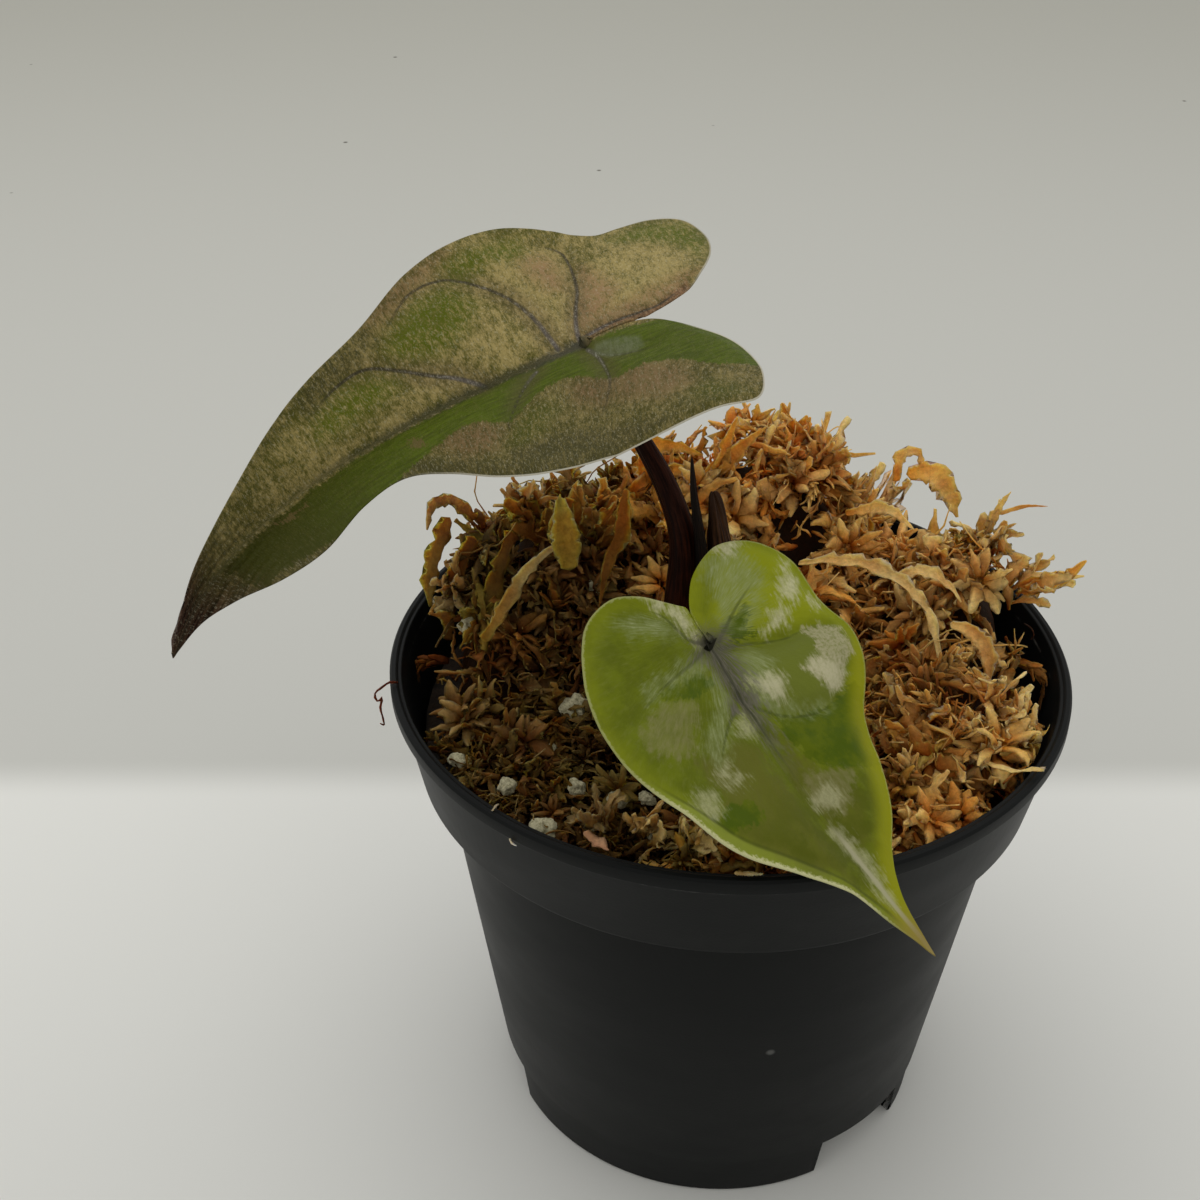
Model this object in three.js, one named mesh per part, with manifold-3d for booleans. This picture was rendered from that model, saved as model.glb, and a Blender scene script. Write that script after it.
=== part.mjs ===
// A small aroid house plant in a round nursery pot, in millimetres with +Z up.
// The plant is laid out about the pot's axis, and the whole group is then shifted so that the
// origin is under the middle of everything, where the pot's foot meets the table.
import * as THREE from 'three';
import { mergeVertices } from 'three/addons/utils/BufferGeometryUtils.js';
import Module from 'manifold-3d';

const wasm = await Module();
wasm.setup();

// Driving dimensions
const GAP = 0.3;
const MIDDLE_SHIFT = [12, 4, 0];

const POT_HEIGHT = 84;
const LIP_RADIUS = 52.5;
const LIP_DROP = 2.4;
const WALL = 1;
const BAND_TOP_RADIUS = 51.4;
const BAND_BOTTOM_RADIUS = 48.7;
const BAND_BOTTOM = 67.2;
const BODY_TOP_RADIUS = 45.2;
const SEAM_RADIUS = 37;
const SEAM_HEIGHT = 8.5;
const FOOT_RADIUS = 36;
const FOOT_WIDTH = 1.8;
const BASE_UNDERSIDE = 9;
const BASE_THICKNESS = 1.4;
const POT_SEGMENTS = 64;
const NOTCH_ANGLES = [-48.5, 71.5, 191.5];
const NOTCH_WIDTH = 20;
const NOTCH_HEIGHT = 8;
const NOTCH_SLANT = 0.8;
const DRAIN_HOLES = 8;
const DRAIN_RADIUS = 3.2;
const DRAIN_CIRCLE = 24;

const MIX_TOP = 72;
const STEM_CENTRE = [-5, -4];
const STEM_HOLE_RADIUS = 9.5;
const STEM_HOLE_FLOOR = 34;

const CORM_TOP = 81;
const CORM_HEIGHT = 16;
const CORM_RADIUS = 7.2;
const ROOTS = 7;
const ROOT_RADIUS = 0.9;

const STALK_RADIUS = 1.35;
const SHEATH_RADIUS = 2.9;
const SHEATH_SHARE = 0.72;
const SMALL_STALK_RADII = [1.9, 1.1];
const SPIKE_RADIUS = 1.45;
const STUB_RADIUS = 2.5;

const MOSS_FLOOR = MIX_TOP + GAP;
const MOSS_LEVEL = 79;
const MOSS_SHOULDER = 36;
const MOSS_SHOULDER_WIDTH = 14;
const CRUMB_HEIGHT = 4;
const STRANDS_PER_CLUMP = 29;
const STRAND_LENGTHS = [6, 13];
const STRAND_RADII = [1.6, 2.8];
const STRAND_SINK = 4;
const MOSS_SEED = 4107;

// Each leaf's midrib is a Bezier curve. Its halves are outlined in the leaf's own measure: the
// distance along the midrib from the stalk, negative in the lobes behind it, and the distance
// across. The margin starts at the notch between the lobes and ends at the tip.
const LARGE_LEAF = {
  length: 77,
  midrib: [[-22.5, 5.5, 133.5], [-44.5, 3, 124], [-73, -9.5, 116.5], [-77, -33.5, 106]],
  roll: [0.27, 0.72],
  fold: [0.03, 1.1],
  lobeDroop: 0.6,
  left: [
    [-2, 0.2], [-6, 1.2], [-12, 2], [-17, 5.5], [-20.5, 12], [-22, 17], [-20, 23.7], [-15, 24.5],
    [-8, 21.7], [-2, 24.5], [5, 26], [12, 23.7], [18.5, 20], [27, 14.3], [36.5, 11], [48.5, 7.5],
    [60, 5], [70, 3.6], [75, 2], [77, 0],
  ],
  right: [
    [-2, 0.2], [-6, -0.4], [-11, -2], [-16, -6], [-20.5, -14], [-21.9, -22], [-20, -27.8],
    [-15, -26.6], [-7, -25.5], [1, -24.4], [8, -23.7], [14, -21.7], [20, -18], [26.5, -12.5],
    [32, -9.3], [40, -8.8], [50, -9.2], [59, -7.2], [66, -3.7], [71, -1.4], [77, 0],
  ],
};
const SMALL_LEAF = {
  length: 50,
  midrib: [[-5, -28.5, 105], [3, -40, 95.5], [12.5, -50.5, 87], [23, -60.5, 78.5]],
  roll: [0, 0.1],
  fold: [0.05, 0],
  lobeDroop: -0.2,
  left: [
    [-2, 0.6], [-4, 1.4], [-6.3, 1.8], [-9.5, 6.5], [-10.4, 10.5], [-8.7, 15.7], [-5, 18.8],
    [0, 21.2], [5, 22.2], [12, 21.7], [19, 19.4], [25, 16.8], [32, 10.4], [39, 4.8], [44, 2.2],
    [50, 0],
  ],
  right: [
    [-2, 0.6], [-5, 0.4], [-7.5, -0.7], [-10.5, -3.7], [-12.4, -8.5], [-11, -13.5], [-6.5, -17.6],
    [0, -19], [6.5, -21.3], [12, -20], [18.5, -15.8], [26, -13], [32, -9.6], [37, -5.2],
    [42, -2], [50, 0],
  ],
};
const BLADE_THICKNESS = 0.7;
const RIB_HEIGHT = 0.9;
const RIB_WIDTH = 1.3;
const VEIN_RELIEF = 0.35;
const LEAF_ROWS = 30;
const LEAF_COLUMNS = 5;
const LOBE_SHARE = 0.42;
const ROWS_PER_VEIN = 5;

// Seven clumps of moss, each a wedge round the stem: the bearings that it lies between, and how
// far from the pot's axis its body reaches.
const CLUMPS = [
  { name: 'moss_right', from: -22, to: 28, reach: 45.5, colour: 0xb89a68, lift: 1 },
  { name: 'moss_back_right', from: 28, to: 64, reach: 46.5, colour: 0xb08050, lift: 1 },
  { name: 'moss_back', from: 64, to: 106, reach: 46.5, colour: 0xa86c3c, lift: 1 },
  { name: 'moss_back_left', from: 106, to: 150, reach: 46.5, colour: 0x9a7434, lift: 1 },
  { name: 'moss_left', from: 150, to: 202, reach: 44, colour: 0x7c5c2c, lift: 0.8 },
  { name: 'moss_front_left', from: 202, to: 268, reach: 48, colour: 0x8a7a3c, lift: 0.45 },
  { name: 'moss_front', from: 268, to: 338, reach: 47.5, colour: 0xa57c48, lift: 0.5 },
];
// Heaps in the moss: place, height above the general level, spread
const HEAPS = [
  [10, 31, 24, 12],
  [-8, 30, 10, 11],
  [-22, 26, 10, 11],
  [-38, 18, 15, 11],
  [43, 14, 19, 9],
  [36, -14, 7, 13],
  [-8, -3, 4, 14],
];
// Perlite grains: place and radius
const GRAINS = [
  [-28.2, -36.5, 2.3], [-33.5, -27, 1.6], [-20.7, 11, 2], [-23.7, -10.5, 2.5], [-17.6, -30.5, 1.7],
  [-13.2, -30, 1.4], [-12.5, -37.5, 1.5], [-41, 4.5, 1.5], [-41, -21, 1.4], [-27.5, -19, 1.3],
  [-23.5, -27.5, 1.6],
];

function randomFrom(seed) {
  let state = seed;
  return function () {
    state = (state * 1664525 + 1013904223) % 4294967296;
    return state / 4294967296;
  };
}

function radians(degrees) {
  return degrees * Math.PI / 180;
}

function between([low, high], share) {
  return low + (high - low) * share;
}

// Geometry to solid and back

function tidyGeometry(geometry) {
  const bare = new THREE.BufferGeometry();
  bare.setAttribute('position', geometry.getAttribute('position').clone());
  bare.setIndex(geometry.index ? geometry.index.clone() : null);
  const merged = mergeVertices(bare, 1e-4);
  const index = merged.index.array;
  const position = merged.getAttribute('position');
  const kept = [];
  let volume = 0;
  const a = new THREE.Vector3();
  const b = new THREE.Vector3();
  const c = new THREE.Vector3();
  for (let i = 0; i < index.length; i += 3) {
    const [p, q, r] = [index[i], index[i + 1], index[i + 2]];
    if (p === q || q === r || r === p) continue;
    kept.push(p, q, r);
    a.fromBufferAttribute(position, p);
    b.fromBufferAttribute(position, q);
    c.fromBufferAttribute(position, r);
    volume += a.dot(b.cross(c));
  }
  if (volume < 0) {
    kept.reverse();
  }
  merged.setIndex(kept);
  return merged;
}

function solidOf(geometry) {
  const tidy = tidyGeometry(geometry);
  return new wasm.Manifold(new wasm.Mesh({
    numProp: 3,
    vertProperties: new Float32Array(tidy.getAttribute('position').array),
    triVerts: new Uint32Array(tidy.index.array),
  }));
}

function geometryOf(solid) {
  const mesh = solid.getMesh();
  const geometry = new THREE.BufferGeometry();
  geometry.setAttribute('position', new THREE.BufferAttribute(new Float32Array(mesh.vertProperties), 3));
  geometry.setIndex(new THREE.BufferAttribute(new Uint32Array(mesh.triVerts), 1));
  return geometry;
}

function largestPart(solid) {
  const parts = solid.decompose();
  return parts.reduce((best, part) => (part.volume() > best.volume() ? part : best));
}

// Shapes that several pieces share

function lathe(profile, segments) {
  const points = profile.map(([r, z]) => new THREE.Vector2(r, z));
  return new THREE.LatheGeometry(points, segments).rotateX(Math.PI / 2);
}

function upright(radius, bottom, top, x, y, sides) {
  const geometry = new THREE.CylinderGeometry(radius, radius, top - bottom, sides);
  return geometry.rotateX(Math.PI / 2).translate(x, y, (top + bottom) / 2);
}

// A cone bent along a curve, with its radius set by a rule from foot (0) to end (1)
function sweep(curve, radiusAt, sides, steps, pointed = true) {
  const geometry = pointed
    ? new THREE.ConeGeometry(1, 1, sides, steps)
    : new THREE.CylinderGeometry(1, 1, 1, sides, steps);
  const frames = curve.computeFrenetFrames(steps, false);
  const position = geometry.getAttribute('position');
  const point = new THREE.Vector3();
  for (let i = 0; i < position.count; i++) {
    const t = position.getY(i) + 0.5;
    const step = Math.round(t * steps);
    const across = new THREE.Vector2(position.getX(i), position.getZ(i));
    if (across.length() > 1e-6) {
      across.setLength(radiusAt(t));
    }
    if (pointed && step === steps) {
      across.set(0, 0);
    }
    point.copy(curve.getPointAt(t));
    point.addScaledVector(frames.binormals[step], across.x);
    point.addScaledVector(frames.normals[step], across.y);
    position.setXYZ(i, point.x, point.y, point.z);
  }
  return geometry;
}

function curveThrough(points) {
  return new THREE.CatmullRomCurve3(points.map((p) => new THREE.Vector3(...p)), false, 'centripetal');
}

// A closed sheet between a grid of upper points and the grid of lower points under it. Both
// faces are split into triangles alike. The two long sides always have a wall.
function slab(upper, lower, endWalls) {
  const rows = upper.length;
  const columns = upper[0].length;
  const points = [...upper.flat(), ...lower.flat()].flatMap((p) => [p.x, p.y, p.z]);
  const top = (row, column) => row * columns + column;
  const bottom = (row, column) => rows * columns + top(row, column);
  const triangles = [];
  const quad = (a, b, c, d) => triangles.push(a, b, c, a, c, d);
  for (let row = 0; row < rows - 1; row++) {
    for (let column = 0; column < columns - 1; column++) {
      quad(top(row, column), top(row, column + 1), top(row + 1, column + 1), top(row + 1, column));
      triangles.push(
        bottom(row, column), bottom(row + 1, column + 1), bottom(row, column + 1),
        bottom(row, column), bottom(row + 1, column), bottom(row + 1, column + 1),
      );
    }
    const last = columns - 1;
    quad(top(row, 0), top(row + 1, 0), bottom(row + 1, 0), bottom(row, 0));
    quad(top(row + 1, last), top(row, last), bottom(row, last), bottom(row + 1, last));
  }
  if (endWalls) {
    for (let column = 0; column < columns - 1; column++) {
      const end = rows - 1;
      quad(top(0, column + 1), top(0, column), bottom(0, column), bottom(0, column + 1));
      quad(top(end, column), top(end, column + 1), bottom(end, column + 1), bottom(end, column));
    }
  }
  const geometry = new THREE.BufferGeometry();
  geometry.setAttribute('position', new THREE.Float32BufferAttribute(points, 3));
  geometry.setIndex(triangles);
  return geometry;
}

// Pot

function potProfile() {
  const bandInner = BAND_BOTTOM_RADIUS - WALL;
  const bodyInner = BODY_TOP_RADIUS - WALL;
  const baseTop = BASE_UNDERSIDE + BASE_THICKNESS;
  return [
    [0, BASE_UNDERSIDE], [FOOT_RADIUS - FOOT_WIDTH, BASE_UNDERSIDE], [FOOT_RADIUS - FOOT_WIDTH, 0],
    [FOOT_RADIUS, 0], [SEAM_RADIUS, SEAM_HEIGHT], [BODY_TOP_RADIUS, BAND_BOTTOM - 1],
    [BAND_BOTTOM_RADIUS, BAND_BOTTOM], [BAND_TOP_RADIUS, POT_HEIGHT - LIP_DROP - 0.4],
    [LIP_RADIUS, POT_HEIGHT - LIP_DROP], [LIP_RADIUS, POT_HEIGHT], [LIP_RADIUS - 1.7, POT_HEIGHT],
    [BAND_TOP_RADIUS - WALL, POT_HEIGHT - 1.2], [bandInner, BAND_BOTTOM + 1.2],
    [bodyInner, BAND_BOTTOM], [SEAM_RADIUS - WALL, baseTop], [0, baseTop],
  ];
}

function makePot() {
  let pot = solidOf(lathe(potProfile(), POT_SEGMENTS));
  const section = new THREE.Shape([
    new THREE.Vector2(-NOTCH_WIDTH / 2, -1),
    new THREE.Vector2(NOTCH_WIDTH / 2, -1),
    new THREE.Vector2(NOTCH_WIDTH / 2 - NOTCH_SLANT, NOTCH_HEIGHT),
    new THREE.Vector2(-NOTCH_WIDTH / 2 + NOTCH_SLANT, NOTCH_HEIGHT),
  ]);
  for (const angle of NOTCH_ANGLES) {
    const notch = new THREE.ExtrudeGeometry(section, { depth: 14, bevelEnabled: false });
    notch.rotateX(Math.PI / 2).translate(0, FOOT_RADIUS + 5, 0).rotateZ(radians(angle - 90));
    pot = pot.subtract(solidOf(notch));
  }
  for (let i = 0; i < DRAIN_HOLES; i++) {
    const angle = radians(360 * i / DRAIN_HOLES);
    const x = DRAIN_CIRCLE * Math.cos(angle);
    const y = DRAIN_CIRCLE * Math.sin(angle);
    const hole = upright(DRAIN_RADIUS, BASE_UNDERSIDE - 2, BASE_UNDERSIDE + 4, x, y, 16);
    pot = pot.subtract(solidOf(hole));
  }
  return pot;
}

// The room that moss has to leave round the upper wall and the lip
function potClearance() {
  const foot = [BAND_BOTTOM_RADIUS - WALL - GAP, BAND_BOTTOM - 4];
  return solidOf(lathe([
    foot, [LIP_RADIUS + 4, BAND_BOTTOM - 4], [LIP_RADIUS + 4, POT_HEIGHT + GAP],
    [BAND_TOP_RADIUS - WALL - GAP, POT_HEIGHT + GAP], foot,
  ], POT_SEGMENTS));
}

// Potting mix with a plain hole for the corm

function makeMix() {
  const bottom = BASE_UNDERSIDE + BASE_THICKNESS + GAP;
  const inset = WALL + GAP + 0.2;
  const body = solidOf(lathe([
    [0, bottom], [SEAM_RADIUS - inset, bottom], [BODY_TOP_RADIUS - inset, BAND_BOTTOM + 0.6],
    [BAND_BOTTOM_RADIUS - inset, BAND_BOTTOM + 1.8], [BAND_BOTTOM_RADIUS - inset + 0.4, MIX_TOP],
    [0, MIX_TOP],
  ], 48));
  const hole = upright(STEM_HOLE_RADIUS, STEM_HOLE_FLOOR, MIX_TOP + 1, ...STEM_CENTRE, 20);
  return body.subtract(solidOf(hole));
}

// Corm and roots

function makeCorm() {
  const bottom = CORM_TOP - CORM_HEIGHT;
  const profile = [
    [0, bottom], [CORM_RADIUS * 0.55, bottom + 1.5], [CORM_RADIUS * 0.9, bottom + 5],
    [CORM_RADIUS, bottom + 9], [CORM_RADIUS, CORM_TOP - 2], [CORM_RADIUS - 0.8, CORM_TOP], [0, CORM_TOP],
  ];
  let corm = solidOf(lathe(profile, 14).translate(...STEM_CENTRE, 0));
  for (let i = 0; i < ROOTS; i++) {
    const angle = 2 * Math.PI * i / ROOTS + 0.4;
    const turn = angle + (i % 2 ? 0.8 : -0.7);
    const end = STEM_HOLE_FLOOR + (i % 3 === 0 ? GAP + 0.1 : 4 + 3 * (i % 4));
    const at = (reach, bearing, z) => [
      STEM_CENTRE[0] + reach * Math.cos(bearing), STEM_CENTRE[1] + reach * Math.sin(bearing), z,
    ];
    const path = curveThrough([
      at(2.5, angle, bottom + 3), at(5, angle, bottom - 4), at(7, angle + 0.2, bottom - 14),
      at(6.4, turn, end),
    ]);
    corm = corm.add(solidOf(sweep(path, (t) => ROOT_RADIUS * (1 - 0.6 * t), 4, 5)));
  }
  return corm;
}

// Leaves

function leafFrame(leaf, s) {
  const curve = new THREE.CubicBezierCurve3(...leaf.midrib.map((p) => new THREE.Vector3(...p)));
  const along = Math.min(Math.max(s, 0), leaf.length);
  const tangent = curve.getTangent(along / leaf.length);
  const point = curve.getPoint(along / leaf.length).addScaledVector(tangent, s - along);
  const level = new THREE.Vector3(tangent.y, -tangent.x, 0).normalize();
  const normal = new THREE.Vector3().crossVectors(level, tangent);
  const roll = leaf.roll[0] + leaf.roll[1] * s / leaf.length;
  const across = level.clone().multiplyScalar(Math.cos(roll)).addScaledVector(normal, Math.sin(roll));
  const up = normal.multiplyScalar(Math.cos(roll)).addScaledVector(level, -Math.sin(roll));
  return { point, across, up };
}

// The blade folds up from its midrib towards the tip, and its lobes droop behind the stalk
function bladePoint(leaf, s, v) {
  const { point, across, up } = leafFrame(leaf, s);
  const fold = leaf.fold[0] + leaf.fold[1] * Math.max(s, 0) / leaf.length;
  const behind = Math.max(-s, 0);
  const height = fold * Math.sqrt(v * v + 1) - leaf.lobeDroop * behind * behind / leaf.length;
  return point.addScaledVector(across, v).addScaledVector(up, height);
}

function bladeNormal(leaf, s, v) {
  const e = 0.2;
  const alongS = bladePoint(leaf, s + e, v).sub(bladePoint(leaf, s - e, v));
  const alongV = bladePoint(leaf, s, v + e).sub(bladePoint(leaf, s, v - e));
  return alongV.cross(alongS).normalize();
}

function outlineOf(points) {
  const curve = new THREE.SplineCurve(points.map((p) => new THREE.Vector2(...p)));
  return curve.getSpacedPoints(LEAF_ROWS);
}

function makeBlade(leaf, grow = 0) {
  const left = outlineOf(leaf.left);
  const right = outlineOf(leaf.right);
  const upper = [];
  const lower = [];
  for (let row = 0; row <= LEAF_ROWS; row++) {
    const share = Math.max(0, (row / LEAF_ROWS - LOBE_SHARE) / (1 - LOBE_SHARE));
    const foot = leaf.length * Math.pow(share, 1.1);
    const upperRow = [];
    const lowerRow = [];
    for (let column = -LEAF_COLUMNS; column <= LEAF_COLUMNS; column++) {
      const t = Math.abs(column) / LEAF_COLUMNS;
      const margin = column < 0 ? right[row] : left[row];
      const s = foot + (margin.x - foot) * t;
      const v = margin.y * t;
      const normal = bladeNormal(leaf, s, v);
      const swell = Math.min(1, Math.abs(margin.y) / 8) * Math.sin(Math.PI * t);
      const wave = -VEIN_RELIEF * Math.cos(2 * Math.PI * row / ROWS_PER_VEIN) * swell;
      const ribTaper = 1 - 0.85 * Math.max(s, 0) / leaf.length;
      const rib = RIB_HEIGHT * Math.exp(-(v * v) / (RIB_WIDTH * RIB_WIDTH)) * ribTaper;
      const half = BLADE_THICKNESS / 2 + grow;
      const surface = bladePoint(leaf, s, v);
      upperRow.push(surface.clone().addScaledVector(normal, wave + half));
      lowerRow.push(surface.clone().addScaledVector(normal, wave - half - rib));
    }
    upper.push(upperRow);
    lower.push(lowerRow);
  }
  return slab(upper, lower, false);
}

// Stalks. Each ends square to the blade that it carries, just under the midrib.

function underBlade(leaf, depth) {
  const start = bladePoint(leaf, 0, 0);
  const normal = bladeNormal(leaf, 0, 0);
  return start.addScaledVector(normal, -(BLADE_THICKNESS / 2 + RIB_HEIGHT + GAP + depth)).toArray();
}

function largeStalk(grow = 0) {
  const path = curveThrough([
    [-8, -4.5, CORM_TOP + GAP], [-7.9, -3.4, 94], [-7.7, -2, 105.4], [-9.7, 1, 111.5],
    [-13.7, 4.5, 118.3], underBlade(LARGE_LEAF, 5), underBlade(LARGE_LEAF, 0),
  ]);
  const swelling = SHEATH_RADIUS - STALK_RADIUS;
  const radius = (t) => STALK_RADIUS + grow + swelling * Math.pow(Math.max(0, 1 - t / SHEATH_SHARE), 0.8);
  return sweep(path, radius, 10, 16, false);
}

function smallStalk(grow = 0) {
  const path = curveThrough([
    [-4.5, -9.3, CORM_TOP + GAP], [-4.7, -12, 90], [-5.6, -18.5, 96.5], underBlade(SMALL_LEAF, 4),
    underBlade(SMALL_LEAF, 0),
  ]);
  return sweep(path, (t) => between(SMALL_STALK_RADII, t) + grow, 8, 10, false);
}

function spike(grow = 0) {
  const path = curveThrough([
    [-3.6, -4.4, CORM_TOP + GAP], [-4.3, -4.2, 96], [-5.2, -3.9, 106.5], [-6.3, -3.5, 114],
    [-6.8, -3.2, 120.2],
  ]);
  return sweep(path, (t) => SPIKE_RADIUS * Math.pow(1 - t, 0.55) + grow, 8, 9);
}

function stub() {
  const path = curveThrough([
    [-0.2, -3, CORM_TOP + GAP], [-1, -2.4, 95], [-2.2, -1.4, 106], [-2.9, -1, 113],
  ]);
  const radius = (t) => STUB_RADIUS * Math.sqrt(1 - Math.pow(Math.max(0, t - 0.55) / 0.5, 2));
  return sweep(path, radius, 10, 8, false);
}

// Moss. Its surface is level ground with heaps on it, which round off towards the wall.

function mossHeight(x, y) {
  const past = (Math.hypot(x, y) - MOSS_SHOULDER) / MOSS_SHOULDER_WIDTH;
  const edge = Math.min(Math.max(past, 0), 1);
  let heap = 0;
  for (const [hx, hy, height, spread] of HEAPS) {
    const far = (x - hx) * (x - hx) + (y - hy) * (y - hy);
    heap += height * Math.exp(-far / (2 * spread * spread));
  }
  return MOSS_LEVEL + heap * Math.sqrt(1 - 0.95 * edge * edge);
}

function fromStem(bearing, distance) {
  return [
    STEM_CENTRE[0] + distance * Math.cos(bearing), STEM_CENTRE[1] + distance * Math.sin(bearing),
  ];
}

// How far from the stem the circle of the given radius about the pot's axis lies on a bearing
function reachOn(bearing, radius) {
  const along = STEM_CENTRE[0] * Math.cos(bearing) + STEM_CENTRE[1] * Math.sin(bearing);
  const stem = Math.hypot(...STEM_CENTRE);
  return -along + Math.sqrt(along * along - stem * stem + radius * radius);
}

function clumpBody(clump, random) {
  const rings = 6;
  const spokes = Math.max(3, Math.round((clump.to - clump.from) / 10));
  const upper = [];
  const lower = [];
  for (let ring = 0; ring <= rings; ring++) {
    const upperRow = [];
    const lowerRow = [];
    for (let spoke = 0; spoke <= spokes; spoke++) {
      const bearing = radians(between([clump.from, clump.to], spoke / spokes));
      const outer = reachOn(bearing, clump.reach);
      const [x, y] = fromStem(bearing, between([STEM_HOLE_RADIUS, outer], ring / rings));
      const crumb = (random() - 0.5) * CRUMB_HEIGHT;
      const rounding = ring === 0 || ring === rings ? 4 : 1.5;
      const top = Math.max(mossHeight(x, y) - rounding + crumb, MOSS_FLOOR + 3);
      upperRow.push(new THREE.Vector3(x, y, top));
      lowerRow.push(new THREE.Vector3(x, y, MOSS_FLOOR));
    }
    upper.push(upperRow);
    lower.push(lowerRow);
  }
  return solidOf(slab(upper, lower, true));
}

// One strand grows out of the clump, leans away from the stem and bends over at its end. A
// strand that would leave its wedge leans the other way, and one near the lip stays inside it
// or clears it.
function mossStrand(clump, random) {
  const from = radians(clump.from + 4);
  const to = radians(clump.to - 4);
  const bearing = between([from, to], random());
  const outer = reachOn(bearing, clump.reach) - 1;
  const inner = STEM_HOLE_RADIUS + 3;
  const distance = Math.sqrt(between([inner * inner, outer * outer], random()));
  const [x, y] = fromStem(bearing, distance);
  const length = between(STRAND_LENGTHS, random()) * (0.5 + 0.5 * clump.lift);
  const outward = -0.3 + (0.3 + 1.1 * random()) * (distance / outer);
  let sideways = (random() - 0.5) * 1.3;
  const turn = Math.atan2(sideways * length, distance + outward * length);
  if (bearing + turn < from || bearing + turn > to) {
    sideways = -sideways * 0.5;
  }
  const rise = (0.5 + 0.5 * random()) * clump.lift;
  const out = new THREE.Vector3(Math.cos(bearing), Math.sin(bearing), 0);
  const round = new THREE.Vector3(-Math.sin(bearing), Math.cos(bearing), 0);
  const lean = out.multiplyScalar(outward).addScaledVector(round, sideways);
  lean.z = rise + 0.15;
  lean.normalize();
  const root = new THREE.Vector3(x, y, mossHeight(x, y) - STRAND_SINK);
  const tip = root.clone().addScaledVector(lean, length + STRAND_SINK - 1.5);
  const middle = root.clone().lerp(tip, 0.55);
  middle.z += 0.22 * length * clump.lift;
  const limit = tip.z > POT_HEIGHT + 2 ? LIP_RADIUS + 1 : BAND_TOP_RADIUS - WALL - 2;
  const reach = Math.hypot(tip.x, tip.y);
  if (reach > limit) {
    tip.x *= limit / reach;
    tip.y *= limit / reach;
  }
  const radius = between(STRAND_RADII, random());
  return sweep(new THREE.QuadraticBezierCurve3(root, middle, tip), () => radius, 3, 2);
}

// The wedge of space that belongs to a clump, half a gap clear of its neighbours
function clumpRoom(clump) {
  const middle = radians((clump.from + clump.to) / 2);
  const half = radians((clump.to - clump.from) / 2);
  const apex = GAP / 2 / Math.sin(half);
  const far = 90 / Math.cos(half);
  const wedge = new THREE.Shape([
    new THREE.Vector2(apex, 0),
    new THREE.Vector2(apex + far * Math.cos(half), -far * Math.sin(half)),
    new THREE.Vector2(apex + far * Math.cos(half), far * Math.sin(half)),
  ]);
  const room = new THREE.ExtrudeGeometry(wedge, { depth: 100, bevelEnabled: false });
  return solidOf(room.rotateZ(middle).translate(...STEM_CENTRE, MOSS_FLOOR));
}

function makeClump(clump, cutters, seed) {
  const random = randomFrom(seed);
  let body = clumpBody(clump, random);
  for (let i = 0; i < STRANDS_PER_CLUMP; i++) {
    body = body.add(solidOf(mossStrand(clump, random)));
  }
  body = body.intersect(clumpRoom(clump));
  for (const cutter of cutters) {
    body = body.subtract(cutter);
  }
  return largestPart(body);
}

// Perlite grains: small angular lumps, each in its own pocket in the moss

function grainAt([x, y, radius], seed, grow = 0) {
  const random = randomFrom(seed);
  const geometry = tidyGeometry(new THREE.IcosahedronGeometry(1, 0));
  const position = geometry.getAttribute('position');
  for (let i = 0; i < position.count; i++) {
    const size = radius * (0.8 + 0.35 * random()) + grow;
    position.setXYZ(i, position.getX(i) * size, position.getY(i) * size, position.getZ(i) * size * 0.85);
  }
  return geometry.translate(x, y, mossHeight(x, y) - 0.2);
}

// Husk flake: a thin pointed scale, dished a little, lying on the moss inside the lip

function huskFlake(grow = 0) {
  const rows = 4;
  const half = 0.35 + grow;
  const upper = [];
  const lower = [];
  for (let row = 0; row <= rows; row++) {
    const t = row / rows;
    const width = 0.35 + 1.1 * Math.sin(Math.PI * Math.min(1, t * 0.8 + 0.15)) + grow;
    const dish = 0.8 * (t - 0.5) * (t - 0.5);
    const line = [-1, 0, 1].map((side) => new THREE.Vector3(
      (t - 0.5) * (4.4 + 2 * grow), side * width, dish + (side ? 0.25 : 0),
    ));
    upper.push(line.map((p) => p.clone().setZ(p.z + half)));
    lower.push(line.map((p) => p.clone().setZ(p.z - half)));
  }
  const geometry = slab(upper, lower, true);
  return geometry.rotateX(0.35).rotateZ(-0.9).translate(-20.3, -43.2, 82.6);
}

// Assembly

const plant = new THREE.Group();
plant.position.set(...MIDDLE_SHIFT);

function place(name, geometry, colour, roughness) {
  const material = new THREE.MeshStandardMaterial({ color: colour, roughness, metalness: 0 });
  const mesh = new THREE.Mesh(geometry, material);
  mesh.name = name;
  plant.add(mesh);
}

const spikeRoom = solidOf(spike(GAP));
const stalkRooms = [
  solidOf(largeStalk(GAP + 0.2)), solidOf(smallStalk(GAP + 0.2)), spikeRoom,
  solidOf(makeBlade(SMALL_LEAF, 0.6)),
];
const grainSeeds = GRAINS.map((grain, i) => 31 + 7 * i);
const grainRooms = GRAINS.map((grain, i) => solidOf(grainAt(grain, grainSeeds[i], GAP)));
const mossCutters = [potClearance(), ...stalkRooms, ...grainRooms, solidOf(huskFlake(GAP))];

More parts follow.
